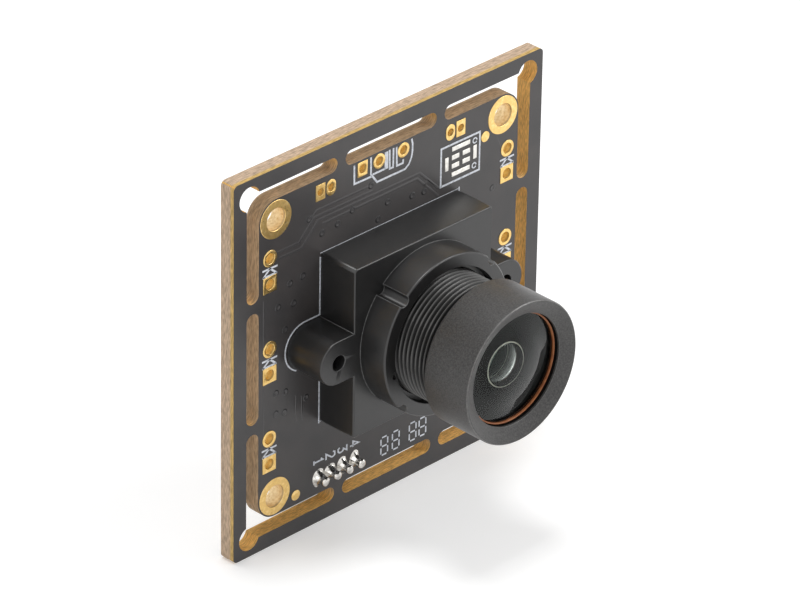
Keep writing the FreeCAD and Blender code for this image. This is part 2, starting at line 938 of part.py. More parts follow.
def third_lens():
    """Flat against the stop and domed behind, with the spacer round its dome."""
    dome_radius = size.barrel_bore_radius - size.spacer_wall - size.bulge_margin
    dome_centre = bulge_centre(dome_radius, third_rear, -size.third_bulge)
    return turned("third_lens", [
        (0, third_rear - size.third_bulge),
        (dome_radius, third_rear, 0, dome_centre, -1),
        (inner_glass_radius, third_rear),
        (inner_glass_radius, stop_rear),
        (0, stop_rear),
    ])


def rear_spacer():
    inner = size.barrel_bore_radius - size.spacer_wall
    return turned("rear_spacer", [
        (inner, spacer_rear),
        (inner_glass_radius, spacer_rear),
        (inner_glass_radius, third_rear),
        (inner, third_rear),
    ])


def fourth_lens():
    """Domed in front, inside the spacer, and flat behind."""
    front_radius = size.barrel_bore_radius - size.spacer_wall - size.bulge_margin
    front_centre = bulge_centre(front_radius, spacer_rear, size.fourth_front_bulge)
    return turned("fourth_lens", [
        (0, fourth_rear),
        (inner_glass_radius, fourth_rear),
        (inner_glass_radius, spacer_rear),
        (front_radius, spacer_rear),
        (0, spacer_rear + size.fourth_front_bulge, 0, front_centre, -1),
    ])


def retaining_ring():
    inner = size.barrel_bore_radius - size.retainer_wall
    rear = fourth_rear - size.retainer_thick
    return turned("retaining_ring", [
        (inner, rear),
        (inner_glass_radius, rear),
        (inner_glass_radius, fourth_rear),
        (inner, fourth_rear),
    ])


# Cable header on the back, its pins and the solder at the front

def usb_header():
    body = new_body("usb_header")
    sketch = face_sketch(body, "shroud")
    rectangle(sketch, size.header_x, size.header_z, size.header_width, size.header_length)
    shroud = pad(body, sketch, size.header_rise, backward=True)
    bevel_edges(body, shroud, "Chamfer", size.pin_bevel, runs_along_axis)
    sketch = face_sketch(body, "socket", -size.header_rise)
    rectangle(
        sketch, size.header_x, size.header_z,
        size.header_width - size.header_wall * 2, size.header_length - size.header_wall * 2)
    pocket(body, sketch, size.header_rise - size.header_floor, forward=True)
    sketch = face_sketch(body, "key_slots", -size.header_rise)
    wall_middle = size.header_z + size.header_length / 2 - size.header_wall / 2
    for side in SIDES:
        across = size.header_x + size.header_key_pitch * side / 2
        rectangle(
            sketch, across, wall_middle, size.header_key_width, size.header_wall + size.pin_bevel)
    pocket(body, sketch, size.header_key_depth, forward=True)
    sketch = face_sketch(body, "pin_holes")
    for across, up in PIN_PLACES:
        rectangle(sketch, across, up, size.pin_side, size.pin_side)
    pocket(body, sketch)
    return body


def header_pins():
    body = new_body("header_pins")
    front = depth_at(size.pin_height)
    sketch = face_sketch(body, "pins", front)
    for across, up in PIN_PLACES:
        rectangle(sketch, across, up, size.pin_side, size.pin_side)
    pins = pad(body, sketch, front + size.pin_rise, backward=True)
    bevel_edges(
        body, pins, "Chamfer", size.pin_bevel,
        lambda edge: lies_at(edge, front) or lies_at(edge, -size.pin_rise))
    return body


def header_joints():
    """Solder on the front face: a cone that climbs each pin."""
    body = new_body("header_joints")
    cone = body.newObject("PartDesign::AdditiveCone", "header_joints_cone")
    cone.AttachmentSupport = [(own_feature(body, "XZ_Plane"), "")]
    cone.MapMode = "FlatFace"
    bind(cone, "AttachmentOffset.Base.x", PIN_PLACES[0][0])
    bind(cone, "AttachmentOffset.Base.y", PIN_PLACES[0][1])
    bind(cone, "AttachmentOffset.Base.z", size.board_thick)
    bind(cone, "Radius1", size.joint_cone_radius)
    bind(cone, "Radius2", size.joint_tip_radius)
    bind(cone, "Height", size.joint_cone_height)
    row = body.newObject("PartDesign::LinearPattern", "header_joints_row")
    row.Originals = [cone]
    row.Direction = (own_feature(body, "X_Axis"), [""])
    bind(row, "Length", size.pin_pitch * (len(PIN_PLACES) - 1))
    row.Occurrences = len(PIN_PLACES)
    body.Tip = row
    sketch = face_sketch(body, "pin_holes")
    for across, up in PIN_PLACES:
        rectangle(sketch, across, up, size.pin_side, size.pin_side)
    pocket(body, sketch)
    return body


# Chips on the back. Each has a moulded body and legs bent down to the board.

CONTROLLER_LEGS = 8
FLASH_LEGS = 4


def chip_body(body, across, up, width, length, rise):
    sketch = face_sketch(body, "moulding", -size.chip_standoff)
    rectangle(sketch, across, up, width, length)
    moulding = pad(body, sketch, rise, backward=True)
    top = -(size.chip_standoff + rise)
    bevel_edges(body, moulding, "Chamfer", size.chip_bevel, lambda edge: lies_at(edge, top))


def leg(body, name, across, up, side, half_length, half_span, rise, width):
    """One bent leg on the upper or lower side: out of the body's middle, down and along."""
    sketch = section_sketch(body, f"leg_{name}", "YZ_Plane", across)
    middle = size.chip_standoff + rise / 2
    shoulder = (half_length + half_span - size.lead_foot) / 2
    heel = half_span - size.lead_foot
    thick = size.lead_thick
    flat = [
        (middle, half_length),
        (middle, shoulder),
        (thick, heel),
        (thick, half_span),
        (0, half_span),
        (0, heel - thick / 2),
        (middle - thick, shoulder - thick / 2),
        (middle - thick, half_length),
    ]
    outline(sketch, [(behind, sized(up) + out * side) for behind, out in flat])
    feature = pad(body, sketch, width)
    feature.Midplane = True
    return feature


def leg_rows(body, feature, pitch, count, quarters):
    """The leg repeated along its side, and round the chip where it has legs on four sides."""
    row = body.newObject("PartDesign::MultiTransform", f"{feature.Name}_rows")
    row.Originals = [feature]
    along = doc.addObject("PartDesign::LinearPattern", f"{feature.Name}_row")
    along.Direction = (own_feature(body, "X_Axis"), [""])
    bind(along, "Length", pitch * (count - 1))
    along.Occurrences = count
    steps = [along]
    if quarters:
        around = doc.addObject("PartDesign::PolarPattern", f"{feature.Name}_sides")
        around.Axis = (own_feature(body, "Y_Axis"), [""])
        around.Angle = 360
        around.Occurrences = 4
        steps.append(around)
    row.Transformations = steps
    body.Tip = row


def camera_controller():
    body = new_body("camera_controller")
    side = size.controller_side
    chip_body(body, 0.0, 0.0, side, side, size.controller_rise)
    first = -(size.controller_lead_pitch * (CONTROLLER_LEGS - 1) / 2)
    feature = leg(
        body, "first", first, 0.0, 1, side / 2, size.controller_span / 2,
        size.controller_rise, size.controller_lead_width)
    leg_rows(body, feature, size.controller_lead_pitch, CONTROLLER_LEGS, quarters=True)
    return body


def flash_memory():
    body = new_body("flash_memory")
    chip_body(
        body, size.flash_x, size.flash_z, size.flash_width, size.flash_length, size.flash_rise)
    first = size.flash_x - size.flash_lead_pitch * (FLASH_LEGS - 1) / 2
    for name, side in (("lower", -1), ("upper", 1)):
        feature = leg(
            body, name, first, size.flash_z, side, size.flash_length / 2, size.flash_span / 2,
            size.flash_rise, size.flash_lead_width)
        leg_rows(body, feature, size.flash_lead_pitch, FLASH_LEGS, quarters=False)
    return body


def regulator(number):
    body = new_body(f"regulator_{number}")
    across = size.regulator_x - size.regulator_pitch * number
    up = size.regulator_z
    chip_body(
        body, across, up, size.regulator_width, size.regulator_length, size.regulator_rise)
    for name, side, step in (("left", -1, -1), ("middle", -1, 0), ("right", -1, 1),
                             ("top_left", 1, -1), ("top_right", 1, 1)):
        leg(
            body, name, across + size.regulator_lead_pitch * step, up, side,
            size.regulator_length / 2, size.regulator_span / 2, size.regulator_rise,
            size.regulator_lead_width)
    return body


def crystal():
    """A shallow ceramic tray with a smaller metal lid."""
    body = new_body("crystal")
    sketch = face_sketch(body, "tray")
    rectangle(sketch, size.crystal_x, size.crystal_z, size.crystal_width, size.crystal_length)
    pad(body, sketch, size.crystal_base, backward=True)
    sketch = face_sketch(body, "lid", -size.crystal_base)
    rectangle(
        sketch, size.crystal_x, size.crystal_z,
        size.crystal_width - size.crystal_margin * 2,
        size.crystal_length - size.crystal_margin * 2)
    lid = pad(body, sketch, size.crystal_lid, backward=True)
    top = -(size.crystal_base + size.crystal_lid)
    bevel_edges(body, lid, "Chamfer", size.pin_bevel, lambda edge: lies_at(edge, top))
    return body


def power_inductor():
    """A square moulded ring with cut corners round a round core."""
    body = new_body("power_inductor")
    sketch = face_sketch(body, "ring")
    side = size.inductor_side
    rectangle(sketch, size.inductor_x, size.inductor_z, side, side)
    ring = pad(body, sketch, size.inductor_rise, backward=True)
    bevel_edges(body, ring, "Chamfer", size.inductor_corner, runs_along_axis)
    sketch = face_sketch(body, "well", -size.inductor_rise)
    circle(sketch, size.inductor_x, size.inductor_z, size.inductor_well_radius)
    pocket(body, sketch, size.inductor_well_depth, forward=True)
    return body


def tantalum_capacitor():
    body = new_body("tantalum_capacitor")
    across = size.tantalum_x
    up = size.tantalum_z
    chip_body(body, across, up, size.tantalum_width, size.tantalum_length, size.tantalum_rise)
    for name, side in (("low", -1), ("high", 1)):
        sketch = face_sketch(body, f"{name}_tab")
        middle = up + (size.tantalum_length - size.tantalum_tab_length) * side / 2
        rectangle(sketch, across, middle, size.tantalum_tab_width, size.tantalum_tab_length)
        pad(body, sketch, size.chip_standoff, backward=True)
    return body


# Small two-ended chips: a plain middle between two slightly thicker metal ends

def row_places(across, up, step_across, step_up, count, upright):
    """Places in a straight row, each (across, up, upright)."""
    return [
        (sized(across) + sized(step_across) * number, sized(up) + sized(step_up) * number, upright)
        for number in range(count)
    ]


# Beside the controller on its left and right, in two rows above it, and below the regulators
half_step = size.side_column_pitch / 2
CAPACITOR_PLACES = (
    row_places(-size.side_column_x, half_step, 0, size.side_column_pitch, 2, True)
    + row_places(size.side_column_x, -(half_step * 3), 0, half_step * 6, 2, True)
    + row_places(-size.capacitor_row_pitch, size.capacitor_low_row_z,
                 size.capacitor_row_pitch, 0, 3, False)
    + row_places(-size.capacitor_row_pitch, size.capacitor_high_row_z,
                 size.capacitor_row_pitch, 0, 3, False)
    + row_places(size.regulator_x - size.regulator_pitch,
                 size.regulator_z - size.regulator_capacitor_drop,
                 size.regulator_pitch, 0, 2, False)
)
# In the same columns, in a row on each side of the controller, and over the crystal
RESISTOR_PLACES = (
    row_places(-size.side_column_x, -(half_step * 3), 0, size.side_column_pitch, 2, True)
    + row_places(size.side_column_x, -half_step, 0, size.side_column_pitch, 2, True)
    + row_places(-(size.resistor_row_pitch * 1.5), size.resistor_low_row_z,
                 size.resistor_row_pitch, 0, 4, False)
    + row_places(-(size.resistor_row_pitch * 1.5), size.resistor_high_row_z,
                 size.resistor_row_pitch, 0, 3, False)
    + row_places(size.crystal_x, size.crystal_z + size.crystal_resistor_rise, 0, 0, 1, False)
)


def two_ended(name, place, length, width, rise, cap):
    across, up, upright = place
    skin = size.end_cap_skin

    def stretch(part_name, shift, part_length, part_width, part_rise):
        if upright:
            return block(
                part_name, across, sized(up) + shift, -part_rise,
                part_width, part_length, part_rise)
        return block(
            part_name, sized(across) + shift, up, -part_rise, part_length, part_width, part_rise)

    parts = [stretch(f"{name}_middle", 0.0, length - cap, width, rise)]
    for side, word in zip(SIDES, ("first", "last")):
        shift = (length - cap) * side / 2
        parts.append(stretch(f"{name}_{word}", shift, cap, width + skin * 2, rise + skin))
    whole = doc.addObject("Part::MultiFuse", name)
    whole.Shapes = parts
    return whole


def chip_capacitors():
    pieces = [
        two_ended(
            f"capacitor_{number}", place, size.capacitor_length, size.capacitor_width,
            size.capacitor_rise, size.capacitor_cap)
        for number, place in enumerate(CAPACITOR_PLACES)
    ]
    return grouped("chip_capacitors", pieces)


def chip_resistors():
    pieces = [
        two_ended(
            f"resistor_{number}", place, size.resistor_length, size.resistor_width,
            size.resistor_rise, size.resistor_cap)
        for number, place in enumerate(RESISTOR_PLACES)
    ]
    return grouped("chip_resistors", pieces)


PARTS = [
    circuit_board(),
    mounting_rings(),
    led_pads(),
    two_pin_pads(),
    three_pin_pads(),
    fiducial_dots(),
    footprint_pads(),
    lens_holder(),
    grouped("holder_screws", [holder_screw(-1, "left_screw"), holder_screw(1, "right_screw")]),
    image_sensor(),
    sensor_die(),
    sensor_glass(),
    infrared_filter(),
    lens_barrel(),
    front_lens(),
    lens_seal(),
    second_lens(),
    aperture_stop(),
    third_lens(),
    rear_spacer(),
    fourth_lens(),
    retaining_ring(),
    usb_header(),
    header_pins(),
    header_joints(),
    camera_controller(),
    flash_memory(),
    grouped("voltage_regulators", [regulator(0), regulator(1)]),
    crystal(),
    power_inductor(),
    tantalum_capacitor(),
    chip_capacitors(),
    chip_resistors(),
]

doc.recompute()
for thing in doc.Objects:
    if "Invalid" in thing.State or "Error" in thing.State:
        raise RuntimeError(f"{thing.Label} failed: {thing.State}")
for part in PARTS:
    if part.Shape.isNull() or not part.Shape.isValid():
        raise RuntimeError(f"{part.Label} has no valid shape")

os.makedirs("parts", exist_ok=True)
for part in PARTS:
    part.Shape.exportStep(f"parts/{part.Label}.step")
    print(part.Label, "solids", len(part.Shape.Solids), "volume", round(part.Shape.Volume, 3))
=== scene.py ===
import math

import bmesh
import bpy
from mathutils import Matrix, Vector


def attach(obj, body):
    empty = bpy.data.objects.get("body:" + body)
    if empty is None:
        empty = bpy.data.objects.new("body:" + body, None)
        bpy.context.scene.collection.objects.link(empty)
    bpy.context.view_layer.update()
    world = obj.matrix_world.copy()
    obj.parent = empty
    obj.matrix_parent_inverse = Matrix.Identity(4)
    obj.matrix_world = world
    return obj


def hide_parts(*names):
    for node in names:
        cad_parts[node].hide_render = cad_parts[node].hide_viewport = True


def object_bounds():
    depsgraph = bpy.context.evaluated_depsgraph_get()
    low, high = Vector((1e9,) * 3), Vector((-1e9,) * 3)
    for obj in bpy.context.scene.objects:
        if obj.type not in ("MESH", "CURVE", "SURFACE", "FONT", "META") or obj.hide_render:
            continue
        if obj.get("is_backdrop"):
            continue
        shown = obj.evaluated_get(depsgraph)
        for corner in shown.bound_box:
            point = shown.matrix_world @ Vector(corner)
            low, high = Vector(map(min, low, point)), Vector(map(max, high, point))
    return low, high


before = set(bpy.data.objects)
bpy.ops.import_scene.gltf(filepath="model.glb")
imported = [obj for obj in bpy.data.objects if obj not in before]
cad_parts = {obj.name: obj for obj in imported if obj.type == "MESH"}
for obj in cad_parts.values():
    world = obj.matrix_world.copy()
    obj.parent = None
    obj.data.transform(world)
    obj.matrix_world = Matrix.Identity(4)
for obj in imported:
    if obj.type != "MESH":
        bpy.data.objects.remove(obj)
cad_low, cad_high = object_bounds()


# Circuit board
# A sheet of glass-fibre laminate, routed and drilled to shape, with dark grey solder mask rolled
# on both faces. The saw and router leave its cut edges bare: tan weave, with a gold-yellow line
# of resin under the front mask.

MM = 0.001
BOARD_THICK = 1.6
EDGE_ROUND = 0.03
RESIN_LINE = 0.5
FACE_TILT = 0.6
MERGE_WITHIN = 0.0005
FLAT_WITHIN = 0.5
SLOT_INNER_WALL = 16.1
SLOT_OUTER_WALL = 17.3
OUTER_WALL = 18.9


def new_finish(name, color, roughness, metallic=0.0):
    """A material with one shader, and that shader."""
    material = bpy.data.materials.new(name)
    material.use_nodes = True
    shader = material.node_tree.nodes["Principled BSDF"]
    shader.inputs["Base Color"].default_value = (*color, 1.0)
    shader.inputs["Roughness"].default_value = roughness
    shader.inputs["Metallic"].default_value = metallic
    return material, shader


def add_node(material, kind, **inputs):
    """A node of that kind, with its inputs wired or set."""
    node = material.node_tree.nodes.new(kind)
    for name, value in inputs.items():
        if isinstance(value, bpy.types.NodeSocket):
            material.node_tree.links.new(value, node.inputs[name])
        else:
            node.inputs[name].default_value = value
    return node


def wire(material, source, shader, name):
    """Wires a value to one of the shader's inputs."""
    material.node_tree.links.new(source, shader.inputs[name])


def place(material, spot_mm=(1, 1, 1)):
    """The surface's own place, counted in spots of that size along each axis."""
    source = add_node(material, "ShaderNodeTexCoord").outputs["Object"]
    scale = [1 / (length * MM) for length in spot_mm]
    return add_node(material, "ShaderNodeMapping", Vector=source, Scale=scale).outputs["Vector"]


def noise(material, spot_mm, detail=3.0, stretch=(1, 1, 1)):
    """Cloudy noise with spots of about that size."""
    vector = place(material, [spot_mm * amount for amount in stretch])
    return add_node(
        material, "ShaderNodeTexNoise", Vector=vector, Scale=1.0, Detail=detail).outputs["Fac"]


def ramp(material, factor, stops):
    """Colours along a factor. Each stop is (place, red, green, blue)."""
    node = add_node(material, "ShaderNodeValToRGB", Fac=factor)
    elements = node.color_ramp.elements
    while len(elements) < len(stops):
        elements.new(0.5)
    for element, (where, *color) in zip(elements, stops):
        element.position = where
        element.color = (*color, 1.0)
    return node.outputs["Color"]


def between(material, factor, low, high, from_low=0.0, from_high=1.0):
    """The factor's range spread over another range."""
    node = add_node(material, "ShaderNodeMapRange", Value=factor)
    node.inputs["From Min"].default_value = from_low
    node.inputs["From Max"].default_value = from_high
    node.inputs["To Min"].default_value = low
    node.inputs["To Max"].default_value = high
    return node.outputs["Result"]


def blend(material, factor, first, second, way="MIX"):
    """The first colour where the factor is 0, the second where it is 1."""
    node = material.node_tree.nodes.new("ShaderNodeMix")
    node.data_type = "RGBA"
    node.blend_type = way
    sockets = (node.inputs[0], node.inputs[6], node.inputs[7])
    for socket, value in zip(sockets, (factor, first, second)):
        if isinstance(value, bpy.types.NodeSocket):
            material.node_tree.links.new(value, socket)
        else:
            socket.default_value = value if isinstance(value, float) else (*value, 1.0)
    return node.outputs[2]


def shade(material, color, amount):
    """The colour made darker or lighter by the amount."""
    return blend(material, 1.0, color, amount, "MULTIPLY")


def math_node(material, operation, *values):
    """The result of a sum or a comparison."""
    node = material.node_tree.nodes.new("ShaderNodeMath")
    node.operation = operation
    for socket, value in zip(node.inputs, values):
        if isinstance(value, bpy.types.NodeSocket):
            material.node_tree.links.new(value, socket)
        else:
            socket.default_value = value
    return node.outputs[0]


def bump(material, shader, height, depth_mm, strength=1.0):
    """Fine relief that deep, over any relief that is there already."""
    node = add_node(material, "ShaderNodeBump", Height=height)
    node.inputs["Distance"].default_value = depth_mm * MM
    node.inputs["Strength"].default_value = strength
    normal = shader.inputs["Normal"]
    if normal.is_linked:
        material.node_tree.links.new(normal.links[0].from_socket, node.inputs["Normal"])
    material.node_tree.links.new(node.outputs["Normal"], normal)


def coordinate(material, axis):
    """Millimetres along one axis of the board's frame."""
    split = add_node(material, "ShaderNodeSeparateXYZ", Vector=place(material))
    return split.outputs[axis]


def faces_board(material):
    """1 on faces that look forward or back, 0 on walls."""
    normal = add_node(material, "ShaderNodeTexCoord").outputs["Normal"]
    along = add_node(material, "ShaderNodeSeparateXYZ", Vector=normal).outputs["Y"]
    return math_node(material, "GREATER_THAN", math_node(material, "ABSOLUTE", along), FACE_TILT)


def dress(name, finish, round_mm=0.0, edge_finish=None, sharper_than=32):
    """The frame's own node gets this finish, and its sharp edges a small round."""
    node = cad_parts[name]
    node.material_slots[0].material = finish
    if not round_mm:
        return node
    weld = node.modifiers.new("weld", "WELD")
    weld.merge_threshold = MERGE_WITHIN * MM
    flats = node.modifiers.new("flats", "DECIMATE")
    flats.decimate_type = "DISSOLVE"
    flats.angle_limit = math.radians(FLAT_WITHIN)
    edges = node.modifiers.new("edges", "BEVEL")
    edges.width = round_mm * MM
    edges.segments = 2
    edges.limit_method = "ANGLE"
    edges.angle_limit = math.radians(sharper_than)
    if edge_finish:
        node.data.materials.append(edge_finish)
        edges.material = 1
    normals = node.modifiers.new("normals", "WEIGHTED_NORMAL")
    normals.keep_sharp = False
    return node


solder_mask, shader = new_finish("solder_mask", (0.036, 0.032, 0.033), 0.4)
is_face = faces_board(solder_mask)
mask_color = ramp(solder_mask, noise(solder_mask, 4.0, 5.0), [
    (0.3, 0.036, 0.034, 0.035), (0.7, 0.055, 0.049, 0.048)])
# Painted glow: the slots' walls are painted brown on the core's side and orange on the outer
# frame's side, standing for light shining through the frame's thin laminate.
from_middle = math_node(
    solder_mask, "MAXIMUM",
    math_node(solder_mask, "ABSOLUTE", coordinate(solder_mask, "X")),
    math_node(solder_mask, "ABSOLUTE", coordinate(solder_mask, "Z")))
glow_across_slot = between(solder_mask, from_middle, 0.0, 1.0, SLOT_INNER_WALL, SLOT_OUTER_WALL)
slot_wall_glow = blend(solder_mask, glow_across_slot, (0.42, 0.31, 0.195), (0.74, 0.43, 0.12))
depth = coordinate(solder_mask, "Y")
in_resin = between(
    solder_mask, depth, 1.0, 0.0, -(BOARD_THICK - RESIN_LINE * 0.6), -(BOARD_THICK - RESIN_LINE))
edge_color = blend(solder_mask, in_resin, (0.52, 0.38, 0.265), (0.56, 0.37, 0.12))
at_edge = math_node(solder_mask, "GREATER_THAN", from_middle, OUTER_WALL)
laminate_color = blend(solder_mask, at_edge, slot_wall_glow, edge_color)
fibres = noise(solder_mask, 0.13, 5.0, (5.0, 0.7, 5.0))
laminate_color = shade(
    solder_mask, laminate_color, between(solder_mask, fibres, 0.55, 1.4, 0.3, 0.7))
wire(solder_mask, blend(solder_mask, is_face, laminate_color, mask_color), shader, "Base Color")
wire(solder_mask, between(solder_mask, is_face, 0.75, 0.36), shader, "Roughness")
bump(solder_mask, shader, noise(solder_mask, 0.6, 2.0), 0.003, 0.5)
bump(solder_mask, shader, noise(solder_mask, 0.12, 4.0), 0.003, 0.5)
dress("circuit_board", solder_mask, EDGE_ROUND)


# Copper under the mask
# Etched copper tracks and tented vias on the front face. The mask covers them, so that they show
# only as low ridges and rings a little lighter than the board.

TRACK_HIGH = 0.02
TRACK_WIDE = 0.3
MITRE_LIMIT = 0.35
COVERED_RING = 0.22
# One via's profile as (radius, height)
VIA_PROFILE = (
    (0.36, 0.0), (0.31, 0.025), (0.24, 0.045), (0.17, 0.025), (0.1, 0.006), (0.0, 0.003))
# Each track's corners as (across, up), and how wide it is
TRACKS = (
    ([(-9.9, 12.2), (-9.1, 13.0), (-2.7, 13.0)], 0.26),
    ([(-14.0, 10.6), (-11.2, 10.6), (-9.4, 12.4), (-2.2, 12.4)], TRACK_WIDE),
    ([(-13.6, 9.95), (-10.9, 9.95), (-8.9, 11.95), (3.6, 11.95), (6.0, 9.55)], TRACK_WIDE),
    ([(-8.4, 11.4), (3.3, 11.5), (6.0, 8.75)], TRACK_WIDE),
    ([(4.2, 10.5), (4.6, 10.85), (5.4, 10.0)], TRACK_WIDE),
    ([(-11.4, -7.4), (-11.4, -4.7)], 0.2),
    ([(-10.7, -7.6), (-10.7, -5.0)], 0.2),
    ([(-15.4, 6.4), (-15.4, 1.4)], 0.16),
    ([(-15.4, -2.6), (-15.4, -7.9)], 0.16),
    ([(11.6, 4.6), (11.6, -2.8), (12.9, -4.1)], 0.2),
    ([(12.2, 4.4), (12.2, -2.4)], 0.2),
)
VIAS = (
    (-10.0, 12.5), (-8.4, 10.5), (-2.45, 13.0), (-4.7, 11.4), (-6.5, 10.7), (-1.5, 9.25),
    (-0.35, 10.55), (2.7, 10.05), (4.2, 9.9), (-10.7, 7.1), (-12.25, 6.95), (-11.8, 4.8),
    (-13.7, 5.1), (-12.8, 2.5), (-12.75, -3.8), (-13.9, -3.5), (-12.85, -5.85), (-13.9, -5.6),
    (-10.2, -5.4), (11.2, -6.0), (10.2, 5.6), (12.9, 7.0), (13.6, -4.1), (9.9, -9.8),
)


def spot(across, up, height):
    """A point that many millimetres in front of the board's front face."""
    return Vector((across, -(BOARD_THICK + height), up)) * MM


def add_strip(shape, points, width, low, high, slope=0.0):
    """A flat ribbon along a line of (across, up) corners, narrower at the top by the slope."""
    count = len(points)
    rows = []
    for number, (across, up) in enumerate(points):
        before = points[max(number - 1, 0)]
        after = points[min(number + 1, count - 1)]
        come = Vector((across - before[0], up - before[1]))
        leave = Vector((after[0] - across, after[1] - up))
        come = come.normalized() if come.length else leave.normalized()
        leave = leave.normalized() if leave.length else come
        along = (come + leave).normalized()
        side = Vector((-along.y, along.x)) / max(along.dot(leave), MITRE_LIMIT)
        row = []
        for reach, height in ((1, low), (1 - slope, high), (slope - 1, high), (-1, low)):
            shift = side * (reach * width / 2)
            row.append(shape.verts.new(spot(across + shift.x, up + shift.y, height)))
        rows.append(row)
    for first, second in zip(rows, rows[1:]):
        for left in range(3):
            shape.faces.new((first[left], first[left + 1], second[left + 1], second[left]))
        shape.faces.new((first[3], first[0], second[0], second[3]))
    shape.faces.new(rows[0])
    shape.faces.new(rows[-1][::-1])


def add_turned(shape, profile, across=0.0, up=0.0, steps=48, closed=False):
    """A turned form about an axis through the board. The profile is (radius, height)."""
    rings = []
    for radius, height in profile:
        if radius < 1e-6:
            rings.append([shape.verts.new(spot(across, up, height))] * steps)
            continue
        ring = []
        for step in range(steps):
            angle = 2 * math.pi * step / steps
            ring.append(shape.verts.new(spot(
                across + radius * math.cos(angle), up + radius * math.sin(angle), height)))
        rings.append(ring)
    pairs = list(zip(rings, rings[1:]))
    if closed:
        pairs.append((rings[-1], rings[0]))
    for inner, outer in pairs:
        for step in range(steps):
            following = (step + 1) % steps
            corners = []
            for vertex in (inner[step], inner[following], outer[following], outer[step]):
                if vertex not in corners:
                    corners.append(vertex)
            if len(corners) > 2:
                shape.faces.new(corners)


def radius_and_height(face, across=0.0, up=0.0):
    """How far a face lies from an axis through the board, and from the board's front."""
    middle = face.calc_center_median() / MM
    return math.hypot(middle.x - across, middle.z - up), -middle.y - BOARD_THICK


def make_piece(name, shape, finishes, stands_for=(), crease=30):
    """Turns a bmesh into a piece of the module, smooth up to that angle."""
    bmesh.ops.recalc_face_normals(shape, faces=shape.faces)
    mesh = bpy.data.meshes.new(name)
    shape.to_mesh(mesh)
    shape.free()
    for finish in finishes:
        mesh.materials.append(finish)
    mesh.shade_smooth()
    mesh.set_sharp_from_angle(angle=math.radians(crease))
    piece = bpy.data.objects.new(name, mesh)
    bpy.context.scene.collection.objects.link(piece)
    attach(piece, "root")
    if stands_for:
        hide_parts(*stands_for)
    return piece


copper_mask, shader = new_finish("mask_over_copper", (0.053, 0.050, 0.051), 0.32)
bump(copper_mask, shader, noise(copper_mask, 0.12, 4.0), 0.003, 0.5)
via_mask, shader = new_finish("mask_over_vias", (0.018, 0.017, 0.018), 0.3)
bump(via_mask, shader, noise(via_mask, 0.12, 4.0), 0.003, 0.5)
shape = bmesh.new()
for corners, width in TRACKS:
    add_strip(shape, corners, width, 0.0, TRACK_HIGH, 0.5)
for across, up in VIAS:
    before = set(shape.faces)
    add_turned(shape, VIA_PROFILE, across, up, steps=24)
    for face in set(shape.faces) - before:
        if radius_and_height(face, across, up)[0] > COVERED_RING:
            face.material_index = 1
make_piece("covered_copper", shape, [copper_mask, via_mask], crease=60)


# White ink
# Printed on the mask with a screen: the lamp symbols between the pads, outlines of parts that
# aren't fitted, and plain numbers for the pins. The ink is thin and a little ragged.

INK_WIDE = 0.19
INK_HIGH = 0.02
LED_COLUMN = 14.68
LED_PITCH = 9.1
EAR_REACH = 10.4
EAR_LINE = 2.4
FOOT_LINE = 8.6
FOOT_LEVEL = 8.57
LAMP_INK = 0.18
FOOT_INK = 0.14
LEVEL_INK = 0.05
NUMBER_INK = 0.16
PANEL_INK = 0.15
DOT_INK = 0.12
BLOCK_INK = 0.42
PANEL_WIDE = 0.85
DASH_LONG = 0.62
NUMBER_UNIT = 0.27
# Strokes of the plain numbers, on a grid two wide and four high
NUMBER_STROKES = (
    [[(0.4, 3.2), (1.1, 4), (1.1, 0)], [(0.3, 0), (1.9, 0)]],
    [[(0, 3.2), (0.4, 4), (1.6, 4), (2, 3.2), (2, 2.6), (0, 0), (2.1, 0)]],
    [[(0, 4), (2, 4), (0.9, 2.4), (1.7, 2.2), (2, 1.4), (1.9, 0.6), (1.3, 0), (0.4, 0), (0, 0.7)]],
    [[(1.5, 0), (1.5, 4), (0, 1.3), (2.2, 1.3)]],
)
PIN_PLACES = (-8.6, -7.1, -5.6, -4.1)
PANEL_DIGITS = (-0.75, 0.7, 2.85, 4.1)

ink, shader = new_finish("white_ink", (0.72, 0.75, 0.80), 0.55)
wire(ink, ramp(ink, noise(ink, 0.22, 5.0), [
    (0.3, 0.52, 0.55, 0.60), (0.55, 0.78, 0.81, 0.87)]), shader, "Base Color")
bump(ink, shader, noise(ink, 0.08, 3.0), 0.004, 0.7)


def arc(centre, radius, start, end, count=12):
    """Points round an arc, between two angles in degrees."""
    points = []
    for number in range(count + 1):
        angle = math.radians(start + (end - start) * number / count)
        points.append((centre[0] + radius * math.cos(angle), centre[1] + radius * math.sin(angle)))
    return points


def draw(shape, *lines, width=INK_WIDE):
    """Lines of ink, each along its own corners."""
    for line in lines:
        add_strip(shape, line, width, 0.0, INK_HIGH)


shape = bmesh.new()
# A lamp symbol between each pair of pads: a triangle with a bar over its point
for side in (-1, 1):
    for row in (-1, 0, 1):
        middle = LED_COLUMN * side
        low = LED_PITCH * row - 0.40
        high = LED_PITCH * row + 0.28
        draw(shape,
             [(middle - 0.85, low), (middle + 0.85, low)],
             [(middle - 0.8, low), (middle, high), (middle + 0.8, low)],
             [(middle - 0.9, high), (middle + 0.9, high)],
             width=LAMP_INK)
# Outlines and a filled block round the three pads at the top
draw(shape,
     [(-4.55, 15.75), (-4.52, 13.9), (-2.4, 13.87)],
     [(-2.5, 15.8), (-2.5, 14.1), (-1.72, 13.07), (1.75, 13.07), (2.2, 13.4), (2.5, 13.95),
      (2.62, 14.6), (2.62, 15.3), (2.5, 15.8)],
     [(-2.3, 14.02), (-0.75, 14.02)],
     [(-0.22, 15.7), (-0.18, 13.82), (0.24, 13.82), (0.26, 15.7)],
     [(0.63, 15.67), (0.7, 13.78), (1.45, 13.78), (1.5, 14.15)])
draw(shape, [(-0.6, 13.95), (-0.6, 15.65)], width=BLOCK_INK)
